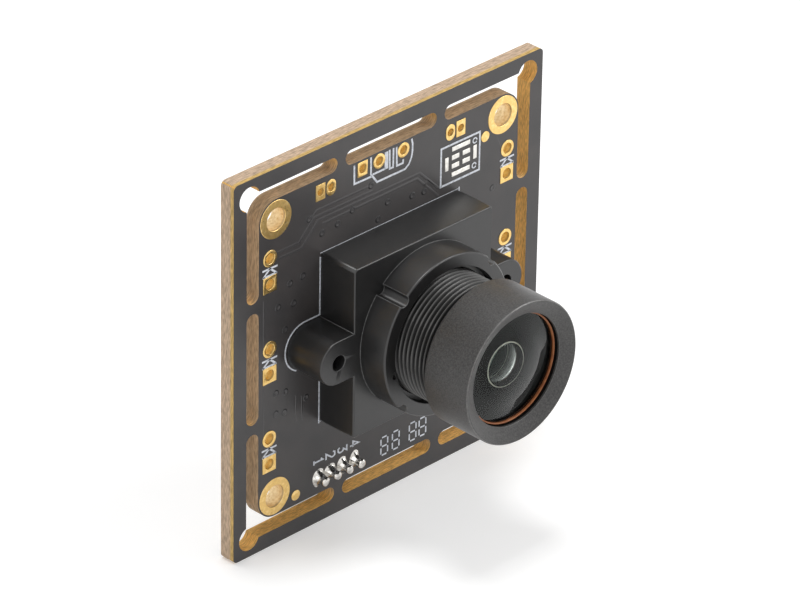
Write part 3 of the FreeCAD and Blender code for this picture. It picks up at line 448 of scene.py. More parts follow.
# Outline of a part that isn't fitted, at the upper right
draw(shape, [(6.25, 9.54), (11.12, 9.54), (11.12, 13.35), (6.25, 13.35), (6.25, 9.44)])
draw(shape,
     arc((10.5, 12.7), 0.25, 0, 330), arc((10.46, 10.2), 0.25, 0, 330), width=DOT_INK)
# Thin outline round the foot of the lens holder and its ears
for side in (-1, 1):
    ear = [(-EAR_REACH, EAR_LINE)] + arc((-EAR_REACH, 0), EAR_LINE, 96, 245, count=18)
    lines = [
        [(-FOOT_LINE, 8.2), (-FOOT_LINE, EAR_LINE)] + ear,
        [(-FOOT_LINE, -2.75), (-FOOT_LINE, -8.7)],
    ]
    draw(shape, *[[(across * -side, up * -side) for across, up in line] for line in lines],
         width=FOOT_INK)
    draw(shape, [(-FOOT_LINE, FOOT_LEVEL * side), (FOOT_LINE, FOOT_LEVEL * side)],
         width=LEVEL_INK)
# Plain numbers for the pins, turned a quarter, and a blank panel of four figures
for place_of_pin, strokes in zip(PIN_PLACES, NUMBER_STROKES):
    draw(shape, *[
        [(place_of_pin - 0.55 + high * NUMBER_UNIT, -12.35 - along * NUMBER_UNIT)
         for along, high in stroke] for stroke in strokes], width=NUMBER_INK)
for left in PANEL_DIGITS:
    right = left + PANEL_WIDE
    draw(shape, *[
        [(across, foot), (across, foot + DASH_LONG)]
        for across in (left, right) for foot in (-15.22, -14.3)], width=PANEL_INK)
    draw(shape, *[
        [(left + 0.14, level), (right - 0.14, level)] for level in (-15.36, -14.46, -13.52)],
        width=PANEL_INK)
make_piece("white_ink", shape, [ink])


# Plated pads and holes
# Copper pads and drilled holes, plated with nickel and a thin layer of gold. The corner rings
# take the mounting screws, and the pairs down the sides are for lamps that aren't fitted.

# How deep in the holes the painted line of shade at their mouths lies
MOUTH_SHADE_LINE = (-1.55, -1.35)


def gold_finish(name, wall_dark, wall_light, speckle):
    """Gold plate, with its own colour on the holes' walls and a darker line of painted shade at
    their mouths.
    """
    gold, shader = new_finish(name, (0.93, 0.66, 0.26), 0.3, metallic=1.0)
    is_face = faces_board(gold)
    face_color = ramp(gold, noise(gold, 0.3, 6.0), [
        (0.34, *speckle), (0.52, 0.86, 0.58, 0.21), (0.7, 0.97, 0.70, 0.31)])
    wall_color = ramp(gold, noise(gold, 0.25, 4.0), [(0.3, *wall_dark), (0.65, *wall_light)])
    # Painted shade: the walls darken towards the holes' mouths.
    mouth_shade = between(gold, coordinate(gold, "Y"), 0.6, 1.0, *MOUTH_SHADE_LINE)
    wall_color = shade(gold, wall_color, mouth_shade)
    wire(gold, blend(gold, is_face, wall_color, face_color), shader, "Base Color")
    wire(gold, between(gold, is_face, 0.75, 1.0), shader, "Metallic")
    wire(gold, math_node(
        gold, "ADD", between(gold, noise(gold, 0.2, 4.0), 0.2, 0.42),
        between(gold, is_face, 0.2, 0.0)), shader, "Roughness")
    bump(gold, shader, noise(gold, 0.09, 4.0), 0.012, 0.5)
    return gold


ring_gold = gold_finish(
    "ring_gold", (0.76, 0.54, 0.26), (0.98, 0.80, 0.50), (0.78, 0.52, 0.19))
pad_gold = gold_finish(
    "pad_gold", (0.84, 0.60, 0.22), (0.98, 0.78, 0.36), (0.78, 0.51, 0.17))
dress("mounting_rings", ring_gold, round_mm=0.05)
for name in ("led_pads", "two_pin_pads", "three_pin_pads", "fiducial_dots"):
    dress(name, pad_gold, round_mm=0.045)

tin, shader = new_finish("tin_plate", (0.78, 0.76, 0.72), 0.32, metallic=1.0)
wire(tin, ramp(tin, noise(tin, 0.4, 4.0), [
    (0.3, 0.62, 0.60, 0.56), (0.7, 0.86, 0.84, 0.80)]), shader, "Base Color")
bump(tin, shader, noise(tin, 0.15, 3.0), 0.01, 0.6)
dress("footprint_pads", tin, round_mm=0.04)


# Image sensor
# A dark ceramic package soldered to the middle of the board, with the polished silicon chip in
# its recess and a flat cover glass over it. The holder hides it, apart from a glimpse through
# the lens.

GLASS_BEND = 1.5

ceramic, shader = new_finish("sensor_ceramic", (0.08, 0.08, 0.085), 0.6)
bump(ceramic, shader, noise(ceramic, 0.1), 0.005)
dress("image_sensor", ceramic, round_mm=0.03)
silicon, shader = new_finish("silicon", (0.16, 0.19, 0.26), 0.15, metallic=0.9)
wire(silicon, ramp(silicon, noise(silicon, 0.6, 1.0), [
    (0.35, 0.10, 0.16, 0.26), (0.65, 0.22, 0.16, 0.26)]), shader, "Base Color")
dress("sensor_die", silicon)


def clear_finish(name, color, roughness, tint=(1.0, 1.0, 1.0)):
    """Glass of that colour, and its shader. The tint is in what it reflects straight on."""
    material, shader = new_finish(name, color, roughness)
    shader.inputs["Transmission Weight"].default_value = 1.0
    shader.inputs["IOR"].default_value = GLASS_BEND
    shader.inputs["Specular Tint"].default_value = (*tint, 1.0)
    return material, shader


cover_glass, shader = clear_finish("cover_glass", (0.95, 0.98, 0.97), 0.02)
dress("sensor_glass", cover_glass)
filter_glass, shader = clear_finish("filter_glass", (0.70, 0.93, 0.90), 0.02)
dress("infrared_filter", filter_glass)


# Lens holder
# Moulded in black glass-filled plastic: a square base with two screw ears and a round boss that
# takes the lens thread. Fine grain on every face, and a painted highlight: the rounded edges are a
# lighter plastic.

FLATS_FIRST = 100
# From where to where a screw darkens towards its tip: painted shade inside the ear's hole
SCREW_SHADE_SPAN = (-3.2, -1.6)

plastic, shader = new_finish("holder_plastic", (0.004, 0.004, 0.004), 0.28)
wire(plastic, ramp(plastic, noise(plastic, 1.6, 5.0), [
    (0.3, 0.006, 0.006, 0.0062), (0.7, 0.011, 0.0105, 0.0105)]), shader, "Base Color")
wire(plastic, between(plastic, noise(plastic, 0.5, 3.0), 0.34, 0.39), shader, "Roughness")
shader.inputs["Specular IOR Level"].default_value = 0.72
bump(plastic, shader, noise(plastic, 0.11, 3.0), 0.005, 0.6)
# Painted highlight: the bevels on the holder's edges get this lighter plastic.
edge_highlight_plastic, shader = new_finish("holder_edge_highlight", (0.07, 0.07, 0.07), 0.3)
wire(edge_highlight_plastic, ramp(edge_highlight_plastic, noise(edge_highlight_plastic, 0.3, 4.0), [
    (0.3, 0.03, 0.03, 0.03), (0.7, 0.10, 0.10, 0.10)]), shader, "Base Color")
bump(edge_highlight_plastic, shader, noise(edge_highlight_plastic, 0.11, 3.0), 0.005, 0.5)
holder = dress(
    "lens_holder", plastic, round_mm=0.07, edge_finish=edge_highlight_plastic, sharper_than=50)
holder.modifiers["normals"].weight = FLATS_FIRST

steel, shader = new_finish("screw_steel", (0.56, 0.56, 0.57), 0.28, metallic=1.0)
# Painted shade: the screw darkens towards its tip, deep in the ear's hole.
tip_shade = between(steel, coordinate(steel, "Y"), 0.02, 0.56, *SCREW_SHADE_SPAN)
mottle = between(steel, noise(steel, 0.3, 4.0), 0.8, 1.05)
wire(steel, shade(steel, tip_shade, mottle), shader, "Base Color")
wire(steel, between(steel, noise(steel, 0.25, 3.0), 0.2, 0.36), shader, "Roughness")
bump(steel, shader, noise(steel, 0.2, 3.0), 0.01, 0.5)
dress("holder_screws", steel, round_mm=0.12, sharper_than=25)


# Lens barrel
# Turned from aluminium and anodised matt black: a 12 mm thread of half a millimetre pitch, a
# narrow run-out groove, and a plain head whose rim slopes in to the front glass.

THREAD_RADIUS = 6.0
THREAD_PITCH = 0.5
THREAD_DEEP = 0.31
ROOT_SHARE = 0.12
FLANK_SHARE = 0.72
RUN_IN = 0.4
RUN_OUT = 0.3
BARREL_REAR = 3.95
THREAD_END = 10.6
RELIEF_RADIUS = 5.6
HEAD_BACK = 11.05
HEAD_RADIUS = 6.85
BARREL_FRONT = 16.5
RIM_EDGE = 15.8
GLASS_RADIUS = 5.35
GLASS_SEAT = 12.1
LIP_RADIUS = 2.6
LIP_REAR = 11.72
BORE_RADIUS = 4.0
# The radius below which the thread's roots are painted near black, painted shade
ROOT_SHADE_RADIUS = 5.68
WALL_BLACK = 0.2
RIM_HIGHLIGHT_WIDE = 0.12
RIM_HIGHLIGHT_INSIDE = 0.09
ROWS_A_TURN = 10
TURN_STEPS = 144


def rounded(profile, steps=4):
    """The profile with its corners rounded. A corner may have its own radius after its place."""
    smooth = []
    for number, (radius, height, *corner) in enumerate(profile):
        here = Vector((radius, height))
        if not corner:
            smooth.append((radius, height))
            continue
        before = Vector(profile[number - 1][:2]) - here
        after = Vector(profile[(number + 1) % len(profile)][:2]) - here
        half = before.angle(after) / 2
        reach = min(corner[0] / math.tan(half), before.length * 0.48, after.length * 0.48)
        start = here + before.normalized() * reach
        end = here + after.normalized() * reach
        for step in range(steps + 1):
            t = step / steps
            point = start * (1 - t) ** 2 + here * (2 * t * (1 - t)) + end * t ** 2
            smooth.append((point.x, point.y))
    return smooth


def thread_radius(height, angle):
    """The thread's radius at a height and an angle: flat crests and roots, 60 degree flanks."""
    turn = (height / THREAD_PITCH - angle / (2 * math.pi)) % 1.0
    wave = abs(turn * 2 - 1)
    lift = min(max((wave - ROOT_SHARE) / FLANK_SHARE, 0.0), 1.0)
    fade = min(
        1.0, max(0.0, (height - BARREL_REAR) / RUN_IN), max(0.0, (THREAD_END - height) / RUN_OUT))
    return THREAD_RADIUS - THREAD_DEEP * (1 - lift * fade)


barrel_metal, shader = new_finish("barrel_metal", (0.045, 0.045, 0.046), 0.4)
grain = ramp(barrel_metal, noise(barrel_metal, 0.14, 6.0), [
    (0.34, 0.026, 0.025, 0.025), (0.66, 0.066, 0.064, 0.062)])
# How far a place lies from the lens's axis, whatever its depth
flat = place(barrel_metal, (1, 1e6, 1))
from_axis = add_node(barrel_metal, "ShaderNodeVectorMath", Vector=flat)
from_axis.operation = "LENGTH"
from_axis = from_axis.outputs["Value"]
# Painted shade and highlight on the thread: its roots are painted near black and its crests
# lighter, by distance from the axis.
in_thread = math_node(
    barrel_metal, "GREATER_THAN", coordinate(barrel_metal, "Y"), -(BOARD_THICK + THREAD_END + 0.1))
crest_highlight = between(barrel_metal, from_axis, 0.0, 1.0, ROOT_SHADE_RADIUS, THREAD_RADIUS)
thread_shade_and_highlight = ramp(barrel_metal, crest_highlight, [
    (0.0, 0.004, 0.004, 0.004), (0.65, 0.010, 0.010, 0.010), (1.0, 0.10, 0.098, 0.095)])
wire(barrel_metal, blend(barrel_metal, in_thread, grain, thread_shade_and_highlight), shader, "Base Color")
wire(barrel_metal, between(
    barrel_metal, noise(barrel_metal, 0.25, 4.0), 0.33, 0.45), shader, "Roughness")
bump(barrel_metal, shader, noise(barrel_metal, 0.09, 3.0), 0.012, 0.6)
# Painted highlight: a lighter metal on the head's front outer edge and on the rim's inner edge.
barrel_edge_highlight, shader = new_finish("barrel_rim_highlight", (0.16, 0.155, 0.15), 0.3)
wire(barrel_edge_highlight, ramp(barrel_edge_highlight, noise(barrel_edge_highlight, 0.3, 5.0), [
    (0.35, 0.09, 0.088, 0.085), (0.65, 0.15, 0.147, 0.143)]), shader, "Base Color")
black, shader = new_finish("blackened_metal", (0.008, 0.008, 0.008), 0.75)
wire(black, ramp(black, noise(black, 0.3, 4.0), [
    (0.3, 0.003, 0.003, 0.003), (0.7, 0.006, 0.006, 0.006)]), shader, "Base Color")
shader.inputs["Specular IOR Level"].default_value = 0.04
bump(black, shader, noise(black, 0.1), 0.006, 0.5)
shape = bmesh.new()
thread_rows = int((THREAD_END - BARREL_REAR) / THREAD_PITCH * ROWS_A_TURN)
rows = []
for number in range(thread_rows + 1):
    height = BARREL_REAR + (THREAD_END - BARREL_REAR) * number / thread_rows
    row = []
    for step in range(TURN_STEPS):
        angle = 2 * math.pi * step / TURN_STEPS
        radius = thread_radius(height, angle)
        across, up = radius * math.cos(angle), radius * math.sin(angle)
        row.append(shape.verts.new(spot(across, up, height)))
    rows.append(row)
for lower, upper in zip(rows, rows[1:]):
    for step in range(TURN_STEPS):
        following = (step + 1) % TURN_STEPS
        shape.faces.new((lower[step], lower[following], upper[following], upper[step]))
head = rounded([
    (THREAD_RADIUS - THREAD_DEEP, THREAD_END),
    (RELIEF_RADIUS, THREAD_END + 0.02, 0.05),
    (RELIEF_RADIUS, HEAD_BACK, 0.08),
    (HEAD_RADIUS - 0.25, HEAD_BACK, 0.08),
    (HEAD_RADIUS, HEAD_BACK + 0.25, 0.1),
    (HEAD_RADIUS, BARREL_FRONT - 0.12, 0.14),
    (HEAD_RADIUS - 0.14, BARREL_FRONT, 0.1),
    (GLASS_RADIUS + 0.03, RIM_EDGE, 0.05),
    (GLASS_RADIUS, RIM_EDGE - 0.1),
    (GLASS_RADIUS, RIM_EDGE - WALL_BLACK),
    (GLASS_RADIUS, GLASS_SEAT),
    (LIP_RADIUS, GLASS_SEAT, 0.1),
    (LIP_RADIUS, LIP_REAR, 0.04),
    (BORE_RADIUS, LIP_REAR),
    (BORE_RADIUS, BARREL_REAR, 0.05),
    (THREAD_RADIUS - THREAD_DEEP, BARREL_REAR),
])
add_turned(shape, head, steps=TURN_STEPS)
bmesh.ops.remove_doubles(shape, verts=shape.verts, dist=MERGE_WITHIN * MM)
for face in shape.faces:
    radius, height = radius_and_height(face)
    if radius < GLASS_RADIUS + 0.02 and height < RIM_EDGE - WALL_BLACK:
        face.material_index = 1
    # The faces that get the painted highlight of the lighter metal
    highlight_outside = radius > HEAD_RADIUS - RIM_HIGHLIGHT_WIDE and height > BARREL_FRONT - RIM_HIGHLIGHT_WIDE
    highlight_inside = GLASS_RADIUS < radius < GLASS_RADIUS + RIM_HIGHLIGHT_INSIDE and height > RIM_EDGE - 0.05
    if highlight_outside or highlight_inside:
        face.material_index = 2
make_piece(
    "barrel", shape, [barrel_metal, black, barrel_edge_highlight], ["lens_barrel"],
    crease=35)


# Glasses, stop and rings inside the barrel
# Four polished and coated glasses with a blackened stop and spacer between them, held by a
# blackened ring screwed in from behind. A thin copper-brown seal runs round the front glass.

lens_glass, shader = clear_finish("lens_glass", (0.88, 0.96, 0.91), 0.0, (0.03, 0.05, 0.04))
shader.inputs["Coat Weight"].default_value = 0.2
shader.inputs["Coat Roughness"].default_value = 0.0
ground_glass, shader = new_finish("ground_glass", (0.62, 0.60, 0.52), 0.4)
wire(ground_glass, ramp(ground_glass, noise(ground_glass, 0.2, 4.0), [
    (0.3, 0.50, 0.48, 0.41), (0.7, 0.74, 0.72, 0.63)]), shader, "Base Color")
inked_glass, shader = new_finish("inked_glass", (0.012, 0.012, 0.011), 0.25)
bump(inked_glass, shader, noise(inked_glass, 0.25), 0.006, 0.5)
inner_glass, shader = clear_finish(
    "inner_lens_glass", (0.80, 0.93, 0.86), 0.0, (0.65, 1.0, 0.95))
for name in ("third_lens", "fourth_lens"):
    dress(name, inner_glass)
for name in ("rear_spacer", "retaining_ring"):
    dress(name, black)

# The stop, a thin plate with a small hole
STOP_RADIUS = 3.95
STOP_HOLE = 0.9
STOP_REAR = 10.02
STOP_FRONT = 10.18
shape = bmesh.new()
add_turned(shape, [
    (STOP_RADIUS, STOP_REAR), (STOP_HOLE + 0.15, STOP_REAR), (STOP_HOLE, STOP_FRONT - 0.04),
    (STOP_HOLE, STOP_FRONT), (STOP_RADIUS, STOP_FRONT)], steps=TURN_STEPS, closed=True)
make_piece("stop_plate", shape, [black], ["aperture_stop"], crease=25)

# The front glass, a dome with a straight flank. The hollow behind it lies in an inked cone.
FRONT_GLASS_RADIUS = 5.32
GLASS_BACK = GLASS_SEAT + 0.02
SEAL_INSIDE = 5.17
SEAL_THICK = 0.24
FRONT_EDGE = 15.1
DOME_RISE = 0.9
FLANK_RADIUS = 3.4
FLANK_RISE = 0.43
HOLLOW_MOUTH = 2.45
HOLLOW_RADIUS = 1.85
HOLLOW_EDGE = 13.4
HOLLOW_DEEP = 0.45
GROUND_BEVEL = 0.09


def cap(radius, base, rise, count=20):
    """A spherical cap's profile from its edge to its middle."""
    sphere = (radius ** 2 + rise ** 2) / (2 * rise)
    centre = base + rise - sphere
    full = math.asin(radius / abs(sphere))
    points = []
    for number in range(count + 1):
        angle = full * (1 - number / count)
        points.append((abs(sphere) * math.sin(angle), centre + sphere * math.cos(angle)))
    return points


shape = bmesh.new()
hollow = cap(HOLLOW_RADIUS, HOLLOW_EDGE, HOLLOW_DEEP)[::-1]
hollow.append((HOLLOW_RADIUS + GROUND_BEVEL, HOLLOW_EDGE - GROUND_BEVEL))
hollow.append((HOLLOW_MOUTH, GLASS_BACK))
dome = [(SEAL_INSIDE, FRONT_EDGE)]
dome += cap(FLANK_RADIUS, FRONT_EDGE + FLANK_RISE, DOME_RISE - FLANK_RISE)
add_turned(
    shape, hollow + [(FRONT_GLASS_RADIUS, GLASS_BACK), (FRONT_GLASS_RADIUS, FRONT_EDGE)] + dome,
    steps=TURN_STEPS)
for face in shape.faces:
    radius, height = radius_and_height(face)
    at_back = radius > HOLLOW_RADIUS + GROUND_BEVEL and height < HOLLOW_EDGE - GROUND_BEVEL
    if at_back and radius < HOLLOW_MOUTH:
        face.material_index = 3
    elif at_back or radius > FRONT_GLASS_RADIUS - 0.02:
        face.material_index = 1
    elif radius > HOLLOW_RADIUS and height < HOLLOW_EDGE:
        face.material_index = 2
make_piece(
    "front_glass", shape, [lens_glass, black, ground_glass, inked_glass],
    ["front_lens"], crease=20)

# The second glass, flat in front and hollow behind. Its front is blackened round a ground ring.
SECOND_RADIUS = 3.95
SECOND_FRONT = 11.7
SECOND_REAR = 10.2
SECOND_WINDOW = 2.35
SECOND_HOLLOW_RADIUS = 1.9
SECOND_HOLLOW_DEEP = 0.8
shape = bmesh.new()
profile = cap(SECOND_HOLLOW_RADIUS, SECOND_REAR, SECOND_HOLLOW_DEEP)[::-1]
profile += [
    (SECOND_RADIUS, SECOND_REAR), (SECOND_RADIUS, SECOND_FRONT),
    (SECOND_WINDOW + GROUND_BEVEL, SECOND_FRONT), (SECOND_WINDOW, SECOND_FRONT),
    (0.0, SECOND_FRONT)]
add_turned(shape, profile, steps=TURN_STEPS)
for face in shape.faces:
    radius, height = radius_and_height(face)
    at_front = height > SECOND_FRONT - 0.01
    if at_front and SECOND_WINDOW < radius < SECOND_WINDOW + GROUND_BEVEL:
        face.material_index = 2
    elif radius > SECOND_HOLLOW_RADIUS and (not at_front or radius > SECOND_WINDOW):
        face.material_index = 1
make_piece(
    "second_glass", shape, [inner_glass, black, ground_glass], ["second_lens"],
    crease=20)

# The seal
seal, shader = new_finish("seal_ring", (0.30, 0.09, 0.03), 0.4)
wire(seal, ramp(seal, noise(seal, 0.5, 3.0), [
    (0.3, 0.26, 0.075, 0.025), (0.7, 0.44, 0.16, 0.055)]), shader, "Base Color")
shape = bmesh.new()
add_turned(shape, rounded([
    (FRONT_GLASS_RADIUS - 0.01, FRONT_EDGE, 0.03), (SEAL_INSIDE, FRONT_EDGE, 0.03),
    (SEAL_INSIDE, FRONT_EDGE + SEAL_THICK, 0.1),
    (FRONT_GLASS_RADIUS - 0.01, FRONT_EDGE + SEAL_THICK, 0.06)]),
    steps=TURN_STEPS, closed=True)
make_piece("glass_seal", shape, [seal], ["lens_seal"], crease=50)


# Cable header and its pins
# An ivory nylon header on the back, with four tinned pins pressed through it and soldered on the
# front face. Each joint is a small bright cone with the pin's tip through it.

nylon, shader = new_finish("header_plastic", (0.78, 0.74, 0.62), 0.45)
wire(nylon, ramp(nylon, noise(nylon, 1.5, 3.0), [
    (0.3, 0.74, 0.70, 0.58), (0.7, 0.81, 0.78, 0.67)]), shader, "Base Color")
shader.inputs["Subsurface Weight"].default_value = 0.15
shader.inputs["Subsurface Radius"].default_value = (0.0008, 0.0006, 0.0004)
bump(nylon, shader, noise(nylon, 0.3), 0.01, 0.5)
dress("usb_header", nylon, round_mm=0.06)
pin_metal, shader = new_finish("pin_metal", (0.80, 0.76, 0.68), 0.25, metallic=1.0)
wire(pin_metal, between(pin_metal, noise(pin_metal, 0.3, 3.0), 0.18, 0.35), shader, "Roughness")
dress("header_pins", pin_metal, round_mm=0.04)

PIN_LEVEL = -14.35
JOINT_STEPS = 28
# Each ring of a joint: half its width, half its length, and its height
JOINT_RINGS = (
    (0.70, 0.90, 0.0), (0.64, 0.78, 0.07), (0.55, 0.60, 0.2), (0.47, 0.49, 0.38),
    (0.42, 0.43, 0.58), (0.40, 0.41, 0.74), (0.42, 0.43, 0.86), (0.41, 0.42, 0.97),
    (0.34, 0.35, 1.07), (0.2, 0.2, 1.13),
)
# How far each joint leans for each millimetre of height, and where its tip is
JOINT_LEAN = (0.06, -0.05)
JOINT_TIP = (0.07, -0.06, 1.16)

solder, shader = new_finish("solder", (0.80, 0.79, 0.76), 0.14, metallic=1.0)
wire(solder, ramp(solder, noise(solder, 0.35, 3.0), [
    (0.35, 0.48, 0.46, 0.43), (0.65, 0.80, 0.78, 0.74)]), shader, "Base Color")
bump(solder, shader, noise(solder, 0.3, 2.0), 0.03, 0.6)
shape = bmesh.new()
for number, across in enumerate(PIN_PLACES):
    rings = []
    for half_width, half_length, height in JOINT_RINGS:
        ring = []
        for step in range(JOINT_STEPS):
            angle = 2 * math.pi * step / JOINT_STEPS
            # Each joint's outline is its own
            swell = (
                1 + 0.07 * math.sin(2 * angle + number * 1.9)
                + 0.05 * math.sin(3 * angle - number))
            ring.append(shape.verts.new(spot(
                across + half_width * swell * math.cos(angle) + JOINT_LEAN[0] * height,
                PIN_LEVEL + half_length * swell * math.sin(angle) + JOINT_LEAN[1] * height,
                height)))
        rings.append(ring)
    for lower, upper in zip(rings, rings[1:]):
        for step in range(JOINT_STEPS):
            following = (step + 1) % JOINT_STEPS
            shape.faces.new((lower[step], lower[following], upper[following], upper[step]))
    shape.faces.new(rings[0][::-1])
    tip = shape.verts.new(spot(across + JOINT_TIP[0], PIN_LEVEL + JOINT_TIP[1], JOINT_TIP[2]))
    for step in range(JOINT_STEPS):
        shape.faces.new((rings[-1][step], rings[-1][(step + 1) % JOINT_STEPS], tip))
make_piece("solder_joints", shape, [solder], ["header_joints"], crease=70)


# Chips on the back
# Moulded black epoxy bodies with tinned legs bent down to the board, a metal-lidded crystal, a
# ferrite coil, and small ceramic chips with a tinned cap on each end.

END_CAP = 0.24
CAP_SWELL = 0.03
CAP_ROUND = 0.06
MIDDLE_SHORT = 0.08
MIDDLE_ROUND = 0.03
CHIP_MERGE = 0.001
LID_LEVEL = 0.39
BAR_LEVEL = -7.95


def beyond(material, across, up, half_across, half_up):
    """1 outside a body's own rectangle, where its legs are."""
    sideways = math_node(material, "ABSOLUTE", math_node(
        material, "SUBTRACT", coordinate(material, "X"), across))
    upward = math_node(material, "ABSOLUTE", math_node(
        material, "SUBTRACT", coordinate(material, "Z"), up))
    return math_node(
        material, "MAXIMUM", math_node(material, "GREATER_THAN", sideways, half_across),
        math_node(material, "GREATER_THAN", upward, half_up))


def leaded_chip(name, across, up, half_across, half_up):
    """Moulded epoxy with tinned legs."""
    epoxy, shader = new_finish(f"{name}_epoxy", (0.025, 0.025, 0.027), 0.5)
    is_leg = beyond(epoxy, across, up, half_across, half_up)
    body_color = ramp(epoxy, noise(epoxy, 0.5, 6.0), [
        (0.3, 0.018, 0.018, 0.020), (0.7, 0.034, 0.034, 0.036)])
    leg_color = ramp(epoxy, noise(epoxy, 0.3, 3.0), [
        (0.3, 0.60, 0.59, 0.56), (0.7, 0.78, 0.77, 0.74)])
    wire(epoxy, blend(epoxy, is_leg, body_color, leg_color), shader, "Base Color")
    wire(epoxy, is_leg, shader, "Metallic")
    wire(epoxy, between(epoxy, is_leg, 0.52, 0.3), shader, "Roughness")
    bump(epoxy, shader, noise(epoxy, 0.08, 3.0), 0.006, 0.6)
    dress(name, epoxy, round_mm=0.03)


# Each chip's middle, and half its moulded body's width and height
leaded_chip("camera_controller", 0.0, 0.0, 3.52, 3.52)
leaded_chip("flash_memory", 3.4, -9.6, 2.47, 1.97)
leaded_chip("voltage_regulators", 7.5, 8.4, 9.0, 0.82)

nickel, shader = new_finish("crystal_metal", (0.66, 0.65, 0.62), 0.25, metallic=1.0)
is_lid = math_node(nickel, "GREATER_THAN", coordinate(nickel, "Y"), LID_LEVEL)
lid_color = ramp(nickel, noise(nickel, 0.6, 4.0), [
    (0.3, 0.58, 0.57, 0.53), (0.7, 0.72, 0.70, 0.66)])
wire(nickel, blend(nickel, is_lid, (0.12, 0.10, 0.08), lid_color), shader, "Base Color")
wire(nickel, is_lid, shader, "Metallic")
wire(nickel, between(nickel, is_lid, 0.6, 0.26), shader, "Roughness")
dress("crystal", nickel, round_mm=0.05)

ferrite, shader = new_finish("ferrite", (0.07, 0.07, 0.07), 0.55)
wire(ferrite, ramp(ferrite, noise(ferrite, 0.25, 6.0), [
    (0.3, 0.045, 0.045, 0.047), (0.7, 0.095, 0.093, 0.09)]), shader, "Base Color")
bump(ferrite, shader, noise(ferrite, 0.12, 4.0), 0.015, 0.7)
dress("power_inductor", ferrite, round_mm=0.06)

ochre, shader = new_finish("tantalum_epoxy", (0.70, 0.42, 0.08), 0.45)
body_color = ramp(ochre, noise(ochre, 0.5, 5.0), [
    (0.3, 0.62, 0.36, 0.06), (0.7, 0.76, 0.47, 0.10)])
is_bar = math_node(ochre, "GREATER_THAN", coordinate(ochre, "Z"), BAR_LEVEL)
wire(ochre, blend(ochre, is_bar, body_color, (0.20, 0.09, 0.03)), shader, "Base Color")
bump(ochre, shader, noise(ochre, 0.1, 3.0), 0.005, 0.5)
dress("tantalum_capacitor", ochre, round_mm=0.06)


def separate_boxes(name):
    """The lowest and highest corners of each separate solid of a node."""
    shape = bmesh.new()
    shape.from_mesh(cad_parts[name].data)
    bmesh.ops.remove_doubles(shape, verts=shape.verts, dist=CHIP_MERGE * MM)
    left = set(shape.verts)
    boxes = []
    while left:
        group = [left.pop()]
        for vertex in group:
            for edge in vertex.link_edges:
                other = edge.other_vert(vertex)
                if other in left:
                    left.remove(other)
                    group.append(other)
        boxes.append((
            Vector([min(vertex.co[axis] for vertex in group) for axis in range(3)]),
            Vector([max(vertex.co[axis] for vertex in group) for axis in range(3)])))
    shape.free()
    return sorted(boxes, key=lambda box: tuple(round(value, 6) for value in box[0]))


def add_block(shape, low, high, round_mm):
    """A block with rounded edges between two corners."""
    made = bmesh.ops.create_cube(shape, size=1.0)["verts"]
    for vertex in made:
        vertex.co = Vector([
            (low[axis] + high[axis]) / 2 + vertex.co[axis] * (high[axis] - low[axis])
            for axis in range(3)])
    edges = dict.fromkeys(edge for vertex in made for edge in vertex.link_edges)
    bmesh.ops.bevel(
        shape, geom=list(edges), offset=round_mm * MM, segments=3, profile=0.5, affect="EDGES")


def two_ended_chips(name, node, finish):
    """Ceramic chips with a tinned cap on each end, in the places of the node's solids."""
    shape = bmesh.new()
    caps = bmesh.new()
    for low, high in separate_boxes(node):
        along = 0 if high.x - low.x > high.z - low.z else 2
        middle_low, middle_high = low.copy(), high.copy()
        for axis in range(3):
            if axis != along:
                middle_low[axis] += CAP_SWELL * MM
                middle_high[axis] -= CAP_SWELL * MM
        middle_low[along] += MIDDLE_SHORT * MM
        middle_high[along] -= MIDDLE_SHORT * MM
        middle_high.y = min(middle_high.y, high.y - CAP_SWELL * MM)
        add_block(shape, middle_low, middle_high, MIDDLE_ROUND)
        for end in (0, 1):
            cap_low, cap_high = low.copy(), high.copy()
            if end:
                cap_low[along] = high[along] - END_CAP * MM
            else:
                cap_high[along] = low[along] + END_CAP * MM
            add_block(caps, cap_low, cap_high, CAP_ROUND)
    for face in caps.faces:
        face.material_index = 1
    both = bpy.data.meshes.new("caps")
    caps.to_mesh(both)
    caps.free()
    shape.from_mesh(both)
    bpy.data.meshes.remove(both)
    make_piece(name, shape, [finish, tin], [node], crease=40)


tan, shader = new_finish("capacitor_ceramic", (0.42, 0.28, 0.16), 0.4)
wire(tan, ramp(tan, noise(tan, 0.4, 4.0), [
    (0.3, 0.36, 0.23, 0.13), (0.7, 0.48, 0.33, 0.20)]), shader, "Base Color")
two_ended_chips("capacitors", "chip_capacitors", tan)
glaze, shader = new_finish("resistor_glaze", (0.03, 0.03, 0.035), 0.25)
wire(glaze, ramp(glaze, noise(glaze, 0.4, 4.0), [
    (0.3, 0.022, 0.022, 0.026), (0.7, 0.040, 0.040, 0.046)]), shader, "Base Color")
two_ended_chips("resistors", "chip_resistors", glaze)


# Floor, light and camera
# A plain white sweep under the board's lower edge, in a white room. Two soft lamps stand at its
# sides and a third hangs overhead. The camera has the photograph's view.

FLOOR_SIDE = 3.0
FLOOR_DROP = 0.02
FLOOR_GLOW = 0.27
WORLD_ON_PIECES = 0.42
WORLD_SEEN = 1.0
OVERHEAD_POWER = 1.2
OVERHEAD_SPREAD = 18
OVERHEAD_SHINES = (0.0, -0.09, -1.0)
# Each soft lamp's name, place, size and power
SOFT_LAMPS = (
    ("key_lamp", (0.37, -0.30, 0.37), 0.35, 1.6),
    ("fill_lamp", (-0.6, -0.25, 0.35), 0.6, 0.9),
)


def seen_directly(material):
    """1 for rays from the camera, from gloss and through glass."""
    path = add_node(material, "ShaderNodeLightPath")
    return math_node(
        material, "MAXIMUM", path.outputs["Is Camera Ray"],
        math_node(material, "MAXIMUM", path.outputs["Is Glossy Ray"],
                  path.outputs["Is Transmission Ray"]))


